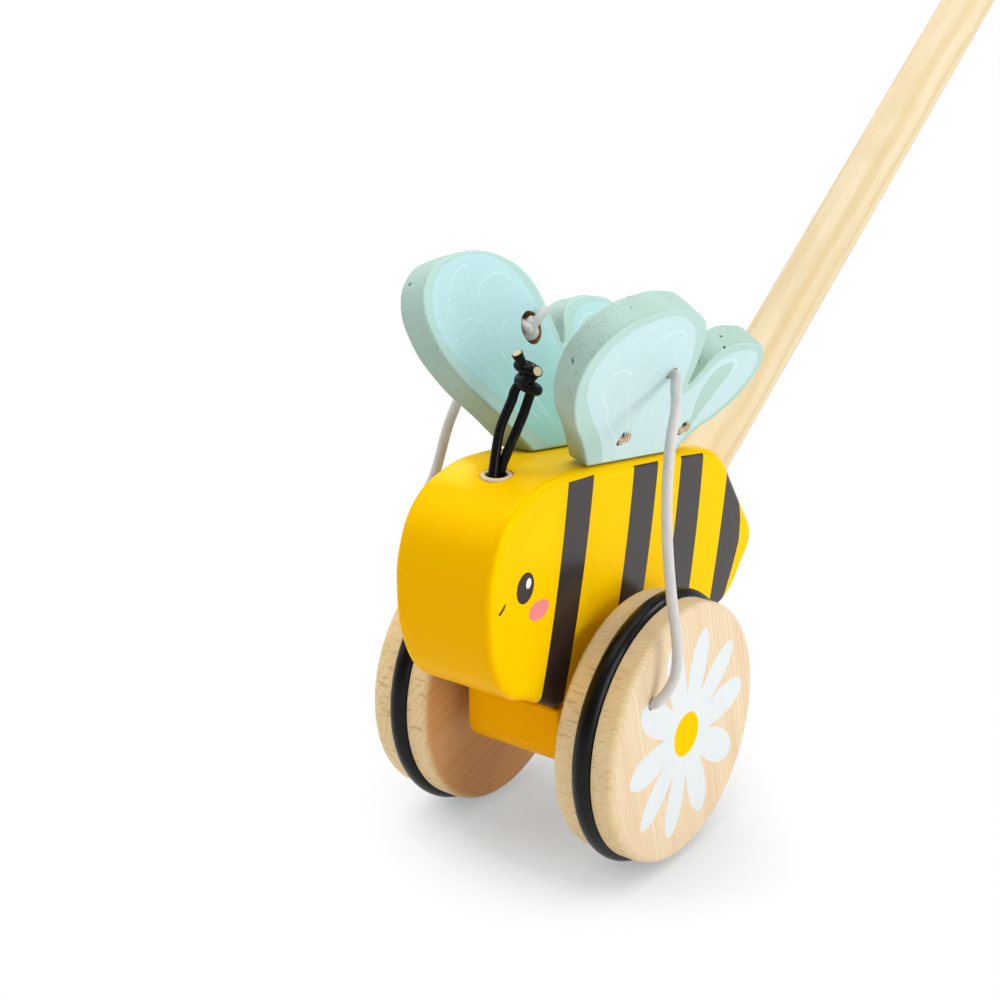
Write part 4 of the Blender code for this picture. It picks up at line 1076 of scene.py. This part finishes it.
wing_ink = flat_ink("Pale blue screen ink", "C5E1E4", "BFDCDF", 0.55)
inner_ink = flat_ink("Pale blue screen ink on the inner face", "BEE0E3", "B8DBDF", 0.55, foot_shade="A4D6D0")
vein_ink = flat_ink("White wing-line ink", "D4EAEA", "CEE6E8", 0.55)
inner_vein_ink = flat_ink("White wing-line ink on the inner face", "D0EAEC", "CAE6E8", 0.55, foot_shade="C8E8E2")
white_ink = flat_ink("White screen ink", "DCE1E3", "D9DEE0", gloss=0.2)
glint_ink = flat_ink("Bright white ink in the eye", "F4F4F4", "F0F0F0", gloss=0.2)
yolk_ink = flat_ink("Yellow screen ink", "FCC700", "F7BF00", gloss=0.01)
eye_ink = flat_ink("Dark brown eye ink", "3A302D", "332A27")
cheek_ink = flat_ink("Pink cheek ink", "F2878A", "EE7E82")
print("an ink has", len(white_ink.node_tree.nodes), "nodes")

# %% [markdown]
# A braided cord has two sets of threads that cross. On the cord's UV map, which counts girths along
# it, each set is a sine wave at a slant, and their product is the braid's relief. The threads are
# drawn coarser than real ones, or they wouldn't show. The antenna's cord is waxed, so it is smoother.

# %% Cords
def woven_cord(name, colour, shade, strands_round, roughness, relief, gloss=0.3):
    """A braided cord: two sets of threads crossing on its UV map, one turn round each girth."""
    made, tree, _ = new_finish(name, Roughness=roughness, IOR=1.5, Specular_IOR_Level=gloss)
    chart = add(tree, "UVMap", uv_map="UVMap").outputs[0]
    split = add(tree, "SeparateXYZ", {0: chart})
    threads = []
    for way in (1.0, -1.0):
        slant = add(tree, "Math", {0: split.outputs[1], 1: way}, operation="MULTIPLY").outputs[0]
        both = add(tree, "Math", {0: split.outputs[0], 1: slant}, operation="ADD").outputs[0]
        turns = add(tree, "Math", {0: both, 1: 2 * pi * strands_round}, operation="MULTIPLY").outputs[0]
        threads.append(add(tree, "Math", {0: turns}, operation="SINE").outputs[0])
    weave = add(tree, "Math", {0: threads[0], 1: threads[1]}, operation="MULTIPLY").outputs[0]
    height = add(tree, "MapRange", {0: weave, 1: -1.0, 2: 1.0}).outputs[0]
    place = add(tree, "TexCoord").outputs["Object"]
    soil = add(tree, "TexNoise", {"Vector": place, "Scale": every(2.86), "Detail": 2.0}).outputs[0]
    tone = colour
    # The shade colour fills the braid's grooves as painted shade, and the patches of soil as dirt.
    for pattern, low, high, share in ((height, 0.55, 0.1, 0.6), (soil, 0.45, 0.75, 0.3)):
        there = add(tree, "MapRange", {0: pattern, 1: low, 2: high, 4: share}).outputs[0]
        tone = add(tree, "Mix", {0: there, 6: tone, 7: shade}, data_type="RGBA").outputs[2]
    return surfaced(made, tone, height, relief, 0.18)


elastic = woven_cord("White elastic cord", "D8D5D2", "BAB6B1", 8, 0.42, 0.3)
waxed = woven_cord("Black waxed cord", "0B0908", "060505", 10, 0.3, 0.25, 0.14)
core_fibre = woven_cord("Pale cord core", "E0CBA2", "A98D62", 6, 0.9, 0.5)
twine = woven_cord("Natural cotton tie", "DECBAA", "A98A63", 3, 0.9, 0.6)
print("cords:", [made.name for made in (elastic, waxed, core_fibre, twine)])

# %% [markdown]
# The tyres are moulded rubber: nearly black, with a fine matt grain and a little grey dust in it. The
# screw is zinc-plated steel, bright, with faint scratches from the driver.

# %% Rubber and steel
def moulded_rubber(name):
    """Black moulded rubber: fine matt grain, with a little grey dust."""
    made, tree, _ = new_finish(name, Roughness=0.32, IOR=1.52, Specular_IOR_Level=0.2)
    place = add(tree, "TexCoord").outputs["Object"]
    dust = add(tree, "TexNoise", {"Vector": place, "Scale": every(3.85), "Detail": 4.0}).outputs[0]
    grit = add(tree, "TexNoise", {"Vector": place, "Scale": every(0.7143), "Detail": 2.0}).outputs[0]
    dusty = add(tree, "MapRange", {0: dust, 1: 0.45, 2: 0.8, 4: 0.55}).outputs[0]
    tone = add(tree, "Mix", {0: dusty, 6: "060606", 7: "0F0F10"}, data_type="RGBA").outputs[2]
    specks = add(tree, "MapRange", {0: grit, 1: 0.70, 2: 0.78, 4: 0.2}).outputs[0]
    tone = add(tree, "Mix", {0: specks, 6: tone, 7: "3A3A3A"}, data_type="RGBA").outputs[2]
    return surfaced(made, tone, grit, 0.10, 0.10)


def plain_steel(name):
    """Zinc-plated steel: bright, with a fine turned scratch."""
    made, tree, _ = new_finish(name, Roughness=0.32, Metallic=1.0)
    place = add(tree, "TexCoord").outputs["Object"]
    scratch = add(tree, "TexNoise", {"Vector": place, "Scale": every(1.111), "Detail": 3.0}).outputs[0]
    worn = add(tree, "MapRange", {0: scratch, 1: 0.4, 2: 0.7}).outputs[0]
    tone = add(tree, "Mix", {0: worn, 6: "B9BBBD", 7: "9EA0A2"}, data_type="RGBA").outputs[2]
    return surfaced(made, tone, scratch, 0.08, 0.05)


rubber = moulded_rubber("Black moulded rubber")
steel = plain_steel("Zinc-plated steel")
print("materials so far:", len(bpy.data.materials))

# %% [markdown]
# ## Boring and printing the wings
# The cord's hole goes straight through, with a wide recess on the inner face for the knot. The two
# ties come up through slanting holes from the foot to the outer face. No bore is painted inside, so
# each cutter brings raw wood with it, which the Boolean leaves on the walls that it cuts.

# %% Wing bores
PULL_HOLE = (21.95, 36.7)
TIES_ALONG = (17.7, 55.7)
TIE_MOUTH_UP = 10.43
TIE_FOOT = (-6.0, -3.19)
TIE_BORE = 1.4
TIE_POCKET = 2.0
wing.material_slots[0].material = wing_paint
wing.material_slots[1].material = edge_paint


def raw_cutter(name, start, end, radius, sides=48):
    """A rod that leaves raw wood on the walls that it cuts."""
    made = rod(name, start, end, radius, sides)
    made.data.materials.append(raw_beech)
    return made


def tie_line(along):
    """A tie's mouth on the outer face and its way out of the foot, in the left wing's frame, in mm."""
    return Vector((OUTER_FACE, along, TIE_MOUTH_UP)), Vector((TIE_FOOT[0], along, TIE_FOOT[1]))


def beside_hole(across):
    """A place in metres on the pull hole's line, in the left wing's frame."""
    return Vector((across, *PULL_HOLE)) * MM


cut(wing, raw_cutter("pull hole", beside_hole(-15), beside_hole(6), CORD_BORE, 32))
cut(wing, raw_cutter("pull recess", beside_hole(-15), beside_hole(-3.5), KNOT_RECESS))
for along in TIES_ALONG:
    mouth, foot = tie_line(along)
    way = (foot - mouth).normalized()
    cut(wing, raw_cutter("tie hole", (mouth - way * 2) * MM, (foot + way * 2) * MM, TIE_BORE, 24))
    cut(wing, raw_cutter("tie pocket", (mouth - way * 2) * MM, (mouth + way * 6.5) * MM, TIE_POCKET, 32))
smooth(wing)
print("bored wing:", len(wing.data.polygons), "faces")

# %% [markdown]
# Each face of a wing carries the same print: a pale blue field inside a border, a cell in the smaller
# lobe, and thin white lines that fan out from the foot. On the inner face it is drawn a little larger
# and runs on down behind the foot's slant. It is printed on the left wing and mirrored with it.

# %% The outlines of the wing's print
PRINT_OUTLINE = (
    (14.9, 0.3), (3.5, 11.1), (-13.6, 23.6), (-25.6, 35.4), (-27.4, 45.5), (-23.0, 53.6), (-12.6, 58.9),
    (1.2, 60.4), (13.0, 57.4), (22.4, 50.6), (29.8, 40.2), (35.8, 29.6), (39.6, 26.6), (43.6, 30.4),
    (48.5, 39.0), (55.5, 42.6), (64.0, 43.0), (74.5, 40.6), (79.5, 34.2), (79.0, 25.6), (73.4, 16.6),
    (64.0, 9.6), (59.2, 0.3))
INNER_OUTLINE = ((18.4, -2.2),) + PRINT_OUTLINE[1:-1] + ((58.0, -2.2),)
VEINS = (
    ((23.0, 1.1), (14.2, 9.2), (0.0, 19.4), (-5.9, 25.2), (-12.0, 29.6), (-15.2, 34.7), (-15.9, 37.8),
     (-12.0, 39.9), (-7.6, 39.7), (-3.5, 38.0), (-0.5, 33.1), (4.6, 27.4), (13.0, 18.0), (26.0, 1.0)),
    ((-16.6, 39.0), (-18.8, 45.0), (-16.0, 52.0), (-10.5, 56.3), (-6.0, 57.2)),
    ((-1.9, 38.6), (-3.4, 44.0), (-2.8, 49.4), (2.4, 52.9), (9.0, 54.4), (14.6, 52.2), (17.6, 48.0),
     (19.6, 43.4)),
    ((28.4, 0.6), (20.1, 10.8), (12.0, 20.4), (6.6, 28.6), (5.3, 34.6), (7.1, 37.8), (9.8, 39.0),
     (15.2, 38.6)),
    ((43.8, 1.3), (40.4, 10.0), (36.3, 20.0)),
    ((58.6, 7.0), (56.0, 14.5), (51.1, 22.9), (49.4, 29.4), (49.9, 35.2), (55.6, 39.2), (61.8, 38.6),
     (64.2, 34.0), (63.4, 28.4), (62.3, 19.8), (60.4, 7.4)),
)
CELL = (
    (58.9, 10.0), (56.6, 15.0), (52.0, 23.2), (50.4, 29.5), (51.0, 34.6), (55.9, 38.0), (61.2, 37.6),
    (63.0, 33.6), (62.2, 28.4), (61.2, 19.6))
VEIN_WIDTH = {"outer": 0.6, "inner": 0.5}
print("wing lines:", len(VEINS))

# %% Wing prints
INNER_PRINT = 1.035
PRINT_MIDDLE = Vector((0, 24, 18)) * MM


def wing_print(piece, name, side, material):
    """Put ink on the wing's outer face, or turn it to its inner face."""
    if side == "inner":
        grown = Matrix.Diagonal((1, INNER_PRINT, INNER_PRINT, 1))
        piece.data.transform(Matrix.Translation(PRINT_MIDDLE) @ grown @ Matrix.Translation(-PRINT_MIDDLE))
        piece.data.transform(Matrix.Translation((-WING_THICKNESS * MM, 0, 0)) @ MIRROR)
        outward(piece)
    piece.data.transform(Matrix.Translation((OUTER_FACE * MM, 0, 0)))
    piece.name = name
    piece.data.materials.append(material)
    return piece


INK_CLEAR = 0.05        # mm that a hole in the ink is wider than the bore under it


def through(piece, side):
    """Bore the ink where the holes of the wing come out under it."""
    if side == "inner":
        cut(piece, rod("hole", beside_hole(-15), beside_hole(-5), KNOT_RECESS + INK_CLEAR))
    else:
        cut(piece, rod("hole", beside_hole(-1), beside_hole(6), CORD_BORE + INK_CLEAR, 32))
        for along in TIES_ALONG:
            mouth, foot = tie_line(along)
            way = (foot - mouth).normalized()
            hole = rod("tie", (mouth - way * 3) * MM, (mouth + way * 3) * MM, TIE_POCKET + INK_CLEAR, 32)
            cut(piece, hole)
    return piece


fields, veins = [], []
for side, border, field_ink, line_ink in (
        ("outer", PRINT_OUTLINE, wing_ink, vein_ink), ("inner", INNER_OUTLINE, inner_ink, inner_vein_ink)):
    field = ink("field", border, (0, len(border) - 1))
    fields.append(through(wing_print(field, f"field {side}", side, field_ink), side))
    fields.append(wing_print(ink("cell", CELL, (), 1), f"cell {side}", side, wing_paint))
    for index, vein in enumerate(VEINS):
        outline = stroke(vein, VEIN_WIDTH[side])
        line = ink("vein", outline, range(len(outline)), 2)
        veins.append(wing_print(line, f"vein {side} {index}", side, line_ink))
field_print = joined(fields, "wing-print-left")
line_print = joined(veins, "wing-lines-left")
print("wing print:", len(field_print.data.polygons), "and", len(line_print.data.polygons), "faces")

# %% Wings on their hinges
wings, wing_prints, wing_lines = {}, {}, {}
for word in ("right", "left"):
    for piece, stem, kept in (
            (wing, "bee-wing", wings), (field_print, "wing-print", wing_prints),
            (line_print, "wing-lines", wing_lines)):
        kept[word] = copied(piece, f"{stem}-right", MIRROR) if word == "right" else piece
        placed(kept[word], wing_frame(word))
smooth(wings["right"])
print("wings lean", TILTS)

# %% [markdown]
# ## Knots and ties
# Behind each wing and inside each wheel the elastic ends in a plain overhand knot. Its shape is a
# trefoil, the closed curve that an overhand knot becomes when its ends are joined, swept with cord.
# In the wing's recess one end sticks out, as a tail.

# %% Knots
KNOT_STEP = 0.6         # mm between the rings of a knot's cord
KNOT_CORD = 1.6         # mm of radius, a little less than the cord's, as it is pulled tight


def overhand(name, centre, axis, size, radius, tail=None):
    """An overhand knot: a closed trefoil of cord whose middle lies on an axis, with a short tail."""
    turn = Vector(axis).to_track_quat("Z", "Y").to_matrix()
    loop = []
    for index in range(36):
        angle = 2 * pi * index / 36
        across = sin(angle) + 2 * sin(2 * angle)
        up = cos(angle) - 2 * cos(2 * angle)
        loop.append(centre + turn @ Vector((across, up, -1.25 * sin(3 * angle))) * size * MM / 3)
    line, _ = smooth_line(loop, KNOT_STEP * MM, closed=True)
    parts = [swept(name, line, radius, sides=20, closed=True)]
    if tail:
        line, _ = smooth_line(tail, KNOT_STEP * MM)
        parts.append(swept(name + " tail", line, radius, sides=20))
    return joined(parts, name)


def by_pull_hole(word, across, along=0.0, up=0.0):
    """A place in metres near a wing's pull hole, from mm off its mouth on the outer face."""
    return wing_place(word, across, PULL_HOLE[0] + along, PULL_HOLE[1] + up)


wheel_knots, wing_knots = {}, {}
for word, side in SIDES.items():
    centre = at(side * 31.6, *CORD_HOLE)
    wheel_knots[word] = overhand(f"bee-wheel-knot-{word}", centre, (side, 0, 0), 3.3, KNOT_CORD)
    middle = by_pull_hole(word, -8.7, 0.0, 0.2)
    inward = by_pull_hole(word, -12.0, 0.0, 0.2) - middle
    tail = [
        by_pull_hole(word, -9.0, -0.6, -0.8), by_pull_hole(word, -12.2, 2.0, 2.6),
        by_pull_hole(word, -13.4, 5.2, 5.4)]
    wing_knots[word] = overhand(f"bee-wing-knot-{word}", middle, inward, 2.9, KNOT_CORD, tail)
print("a wing's knot:", len(wing_knots["left"].data.polygons), "faces")

# %% [markdown]
# The wings' feet are tied down by short cotton cords, whose knots sit in small slanting pockets. Each
# tie runs from its pocket down through the foot into the back, and five frayed strands fan out of
# the knot. The hole in the back was drilled for a wing that stands flat on its foot.

# %% Ties
TIE_RADIUS = 1.0
TIE_KNOT = (1.25, 0.75)     # mm, the knot's size and the radius of its cord
STRAND_RADIUS = 0.42
ties = {}
for word, side in SIDES.items():
    for along, end in zip(TIES_ALONG, ("front", "rear")):
        mouth, foot = tie_line(along)
        mouth.x, foot.x = mouth.x * side, foot.x * side
        leaned, seated = wing_frame(word), wing_frame(word, FOOT_TILT)
        way = (foot - mouth).normalized()
        drilled = (seated @ (foot * MM) - seated @ (mouth * MM)).normalized()
        start = seated @ (foot * MM)
        upper = [leaned @ ((mouth + way * 3.0) * MM), leaned @ (foot * MM)]
        lower = [start + drilled * 0.5 * MM, start + drilled * 8 * MM]
        line, _ = smooth_line(upper + lower, KNOT_STEP * MM)
        cord = swept("cord", line, TIE_RADIUS, sides=16)
        knot = leaned @ ((mouth + way * 1.1) * MM)
        lump = overhand("lump", knot, leaned.to_3x3() @ way, *TIE_KNOT)
        frayed = []
        for spread in (-2, -1, 0, 1, 2):
            fan = Vector((side * (0.9 + 0.25 * (spread % 2)), 2.3 - 0.25 * abs(spread), 0.75 * spread))
            strand = [mouth + way * 1.5, mouth - way * 0.4 + fan * 0.4, mouth - way * 0.5 + fan]
            line, _ = smooth_line([leaned @ (spot * MM) for spot in strand], 0.4 * MM)
            frayed.append(swept("strand", line, STRAND_RADIUS, sides=8))
        ties[word, end] = joined([cord, lump] + frayed, f"bee-tie-{word}-{end}")
print("ties:", [tie.name for tie in ties.values()])

# %% [markdown]
# ## The face and the daisies
# The eye, its highlight, the cheek and the short smile are printed on both sides of the head. The
# daisy on each wheel is drawn as one outline round its ten petals, with a yellow disc on top.

# %% Face
EYE = oval((-50.0, 62.2), (4.6, 5.1), -14)
HIGHLIGHT = oval((-48.3, 63.3), (1.35, 1.7), -14)
CHEEK = oval((-42.6, 52.3), (5.45, 3.2), 0)
SMILE = ((-64.3, 57.9), (-63.2, 58.2), (-61.6, 59.3), (-60.5, 60.6))
SIDE_FACE = BODY_WIDTH / 2


def on_side(piece, name, material):
    """Put a print on the bee's left side, and return it with its mirrored twin."""
    piece.data.materials.append(material)
    placed(piece, Matrix.Translation(at(SIDE_FACE, 0, 0)))
    piece.name = f"{name}-left"
    return piece, copied(piece, f"{name}-right", over_the_middle)


face_prints = []
face_prints += on_side(ink("eye", EYE), "eye-print", eye_ink)
face_prints += on_side(ink("highlight", HIGHLIGHT, (), 1), "eye-highlight", glint_ink)
face_prints += on_side(ink("cheek", CHEEK), "cheek-print", cheek_ink)
smile = stroke(SMILE, 1.05)
face_prints += on_side(ink("smile", smile, range(len(smile))), "smile-print", eye_ink)
print("face prints:", [piece.name for piece in face_prints])

# %% Daisy outline
PETALS = (
    (73.5, 36.2, 10.4), (107.5, 36.6, 10.6), (146.0, 34.4, 11.4), (-172.5, 35.0, 11.4), (-138.0, 36.4, 9.6),
    (-105.0, 36.3, 10.0), (-70.5, 35.4, 11.0), (-31.5, 35.2, 12.0), (7.5, 36.8, 11.4), (39.0, 37.0, 10.0))
DAISY_VALLEY = 14.6
PETAL_SHAPE = ((0.68, -0.5), (0.90, -0.36), (1.0, 0), (0.90, 0.36), (0.68, 0.5))
outline, corners = [], []
ordered = sorted(PETALS, key=lambda petal: petal[0] % 360)
for index, (angle, length, width) in enumerate(ordered):
    before = ordered[index - 1][0] % 360 - (360 if index == 0 else 0)
    corners.append(len(outline))
    middle = radians((before + angle % 360) / 2)
    outline.append((DAISY_VALLEY * cos(middle), DAISY_VALLEY * sin(middle)))
    way = Vector((cos(radians(angle)), sin(radians(angle))))
    side = Vector((-way.y, way.x))
    for along, share in PETAL_SHAPE:
        spot = way * length * along + side * width * share
        outline.append((spot.x, spot.y))
print("daisy:", len(PETALS), "petals,", len(outline), "outline points")

# %% Daisies
YOLK_RADIUS = 7.7
petals = ink("daisy", outline, corners)
yolk = ink("yolk", oval((0, 0), (YOLK_RADIUS, YOLK_RADIUS)), (), 1)
daisy_prints = []
for piece, name, material in ((petals, "daisy-petals", white_ink), (yolk, "daisy-middle", yolk_ink)):
    piece.data.materials.append(material)
    if piece == petals:
        hole = [Vector((across, *CORD_HOLE)) * MM for across in (-10, 10)]
        cut(piece, rod("hole", *hole, CORD_BORE + INK_CLEAR, 32))
    placed(piece, Matrix.Translation(at(WHEEL_FACE, 0, 0)))
    piece.name = f"{name}-left"
    daisy_prints += [piece, copied(piece, f"{name}-right", over_the_middle)]
print("daisy prints:", [piece.name for piece in daisy_prints])

# %% [markdown]
# ## Finishes and joints
# Every piece gets its finish and rides on the body that carries it, but the pull cords and ties ride
# on no body and stay where they were drawn. The axle, its spacers and the dowels stay the CAD's own
# solids, in beech.

# %% Finishes and riding
def finished(piece, material, slot, body_name, *nodes):
    """Give a piece its material and body, and hide the CAD nodes that it stands for; slot is not used."""
    if material:
        piece.data.materials.clear()
        piece.data.materials.append(material)
    if body_name:
        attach(piece, body_name)
    if nodes:
        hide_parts(*nodes)
    return piece


finished(body, striped_paint, "yellow_paint", "frame", "body")
finished(block, plain_paint, "yellow_paint", "frame", "axle_block")
finished(handle, handle_beech, "natural_wood", "frame", "handle")
finished(bush, wheel_beech, "natural_wood", "frame", "antenna_bush")
finished(screw, steel, "steel", "frame", "handle_screw")
for piece in face_prints:
    finished(piece, None, "yellow_paint", "frame")
for piece in daisy_prints:
    finished(piece, None, "natural_wood", "wheelset")
for word, side in SIDES.items():
    wing_body = f"{word}_wing"
    wood = wheel_beech if word == "left" else right_beech
    finished(wheels[word], wood, "natural_wood", "wheelset", f"wheel_{word}")
    finished(tyres[word], rubber, "black_rubber", "wheelset", f"tyre_{word}")
    finished(wheel_knots[word], elastic, "white_cord", "wheelset", f"wheel_knot_{word}")
    finished(wings[word], None, "green_paint", wing_body, f"wing_{word}")
    finished(wing_prints[word], None, "green_paint", wing_body)
    finished(wing_lines[word], None, "green_paint", wing_body)
    finished(wing_knots[word], elastic, "white_cord", wing_body, f"wing_knot_{word}")
    finished(pull_cords[word], elastic, "white_cord", None, f"pull_cord_{word}")
    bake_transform(pull_cords[word])
    for along, end in zip(TIES_ALONG, ("front", "rear")):
        tie = finished(ties[word, end], twine, "tie_cord", None, f"tie_{word}_{end}")
        mouth, foot = tie_line(along)
        mouth.x, foot.x = mouth.x * side, foot.x * side
        start = wing_frame(word, FOOT_TILT) @ (foot * MM)
        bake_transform(tie)
for word in ("front", "rear"):
    finished(strands[word], waxed, "black_cord", "frame", "antenna_cord")
finished(antenna_knot, waxed, "black_cord", "frame", "antenna_cord")
finished(antenna_cores, core_fibre, "black_cord", "frame", "antenna_cord")
for name in ("axle", "dowel_front", "dowel_rear", "spacer_left", "spacer_right"):
    node = frame["nodes"][name]
    node.data.materials.clear()
    node.data.materials.append(wheel_beech)

# %% [markdown]
# The pull cords are limp and hang tight between two holes, and the antenna's waxed strands are stiff
# enough to stand.

# %% Cords
print("cords:", len(pull_cords) + len(strands))

# %% [markdown]
# ## Floor and light
# The toy stands on a white studio floor. To the camera, the floor is plain white further off, and
# near the toy it is a grey paper that takes the toy's shadow, lifted by a glow that fades where the
# toy stands over it, which an Ambient Occlusion node measures. So the white comes from the floor's
# own colour and never from more light on the toy. Other rays meet plain paper.

# %% Floor
SHADOW_MIDDLE = at(15, 40, -47.35)
SHADOW_RANGE = (0.075, 0.115)   # metres from there over which the paper turns plain white
OCCLUSION_REACH = 0.075         # metres up to which the toy darkens the paper
GLOW = (0.345, 0.825)           # the glow right under the toy, and under open sky
bpy.ops.mesh.primitive_plane_add(size=30, location=(0, 0, 0))
floor = named("studio-floor")
made = bpy.data.materials.new("White studio paper")
made.use_nodes = True
tree = made.node_tree
tree.nodes.clear()
place = add(tree, "TexCoord").outputs["Object"]
away = add(tree, "VectorMath", {0: place, 1: SHADOW_MIDDLE}, operation="DISTANCE").outputs["Value"]
far_off = add(tree, "MapRange", {0: away, 1: SHADOW_RANGE[0], 2: SHADOW_RANGE[1]}).outputs[0]
rays = add(tree, "LightPath").outputs
seen = add(tree, "Math", {0: rays["Is Camera Ray"], 1: rays["Is Glossy Ray"]}, operation="MAXIMUM").outputs[0]
seen = add(tree, "Math", {0: seen, 1: rays["Is Transmission Ray"]}, operation="MAXIMUM").outputs[0]
paper = add(tree, "BsdfDiffuse", {"Color": linear("EEEEEE")}).outputs[0]
cool_paper = add(tree, "BsdfDiffuse", {"Color": (0.245, 0.247, 0.25, 1.0)}).outputs[0]
open_sky = add(tree, "AmbientOcclusion", {"Distance": OCCLUSION_REACH}, samples=8).outputs["AO"]
# Where the toy stands over the floor the glow drops and turns cooler: a painted shadow.
strength = add(tree, "MapRange", {0: open_sky, 1: 0.0, 2: 1.0, 3: GLOW[0], 4: GLOW[1]}).outputs[0]
tint = add(tree, "Mix", {0: open_sky, 6: "F3F8FA", 7: "FFFFFF"}, data_type="RGBA").outputs[2]
glow = add(tree, "Emission", {"Color": tint, "Strength": strength}).outputs[0]
lifted = add(tree, "AddShader", {0: cool_paper, 1: glow}).outputs[0]
white = add(tree, "Emission", {"Color": (1, 1, 1, 1), "Strength": 1.0}).outputs[0]
shown = add(tree, "MixShader", {0: far_off, 1: lifted, 2: white}).outputs[0]
result = add(tree, "MixShader", {0: seen, 1: paper, 2: shown}).outputs[0]
add(tree, "OutputMaterial", {"Surface": result})
floor.data.materials.append(made)
print("floor:", len(tree.nodes), "nodes")

# %% [markdown]
# Six soft lamps light the toy. The big overhead one gives its tops and the shadow round the wheels.
# The left one makes the side faces the brightest, and the small back key draws the wings' rims. The
# front fill keeps the nose from going brown, the right top one lays the soft band across it, and the
# right rear one lights the handle's far edge. The world adds a weak even light, and is white only to
# the camera.


# %% Lamps and sky
def soft_lamp(name, location, size, power):
    """A square area lamp that points at the toy; places and sizes in metres, power in watts."""
    way = at(0, 10, 60) - Vector(location)
    bpy.ops.object.light_add(type="AREA", location=location, rotation=way.to_track_quat("-Z", "Y").to_euler())
    lamp = bpy.context.object
    lamp.name = name
    lamp.data.size = size
    lamp.data.energy = power
    print(name, "at", location, "m,", power, "W")


soft_lamp("Overhead softbox", (0.0, -0.15, 1.6), 1.4, 15.4)
soft_lamp("Left softbox", (1.5, -0.2, 0.5), 1.0, 12.0)
soft_lamp("Back key", (0.9, 0.9, 0.9), 0.3, 5.0)
soft_lamp("Front fill", (-1.2, -1.0, 0.9), 1.0, 5.7)
soft_lamp("Right top softbox", (-1.0, -0.45, 1.55), 0.9, 4.5)
soft_lamp("Right rear softbox", (-1.2, 0.8, 1.2), 0.8, 9.5)
world = bpy.data.worlds.new("Studio")
bpy.context.scene.world = world
world.use_nodes = True
tree = world.node_tree
tree.nodes.clear()
to_camera = add(tree, "LightPath").outputs["Is Camera Ray"]
around = add(tree, "Background", {"Color": (1, 1, 1, 1), "Strength": 0.25}).outputs[0]
behind = add(tree, "Background", {"Color": (1, 1, 1, 1), "Strength": 1.0}).outputs[0]
result = add(tree, "MixShader", {0: to_camera, 1: around, 2: behind}).outputs[0]
add(tree, "OutputWorld", {"Surface": result})
bpy.context.scene.view_settings.view_transform = "Standard"
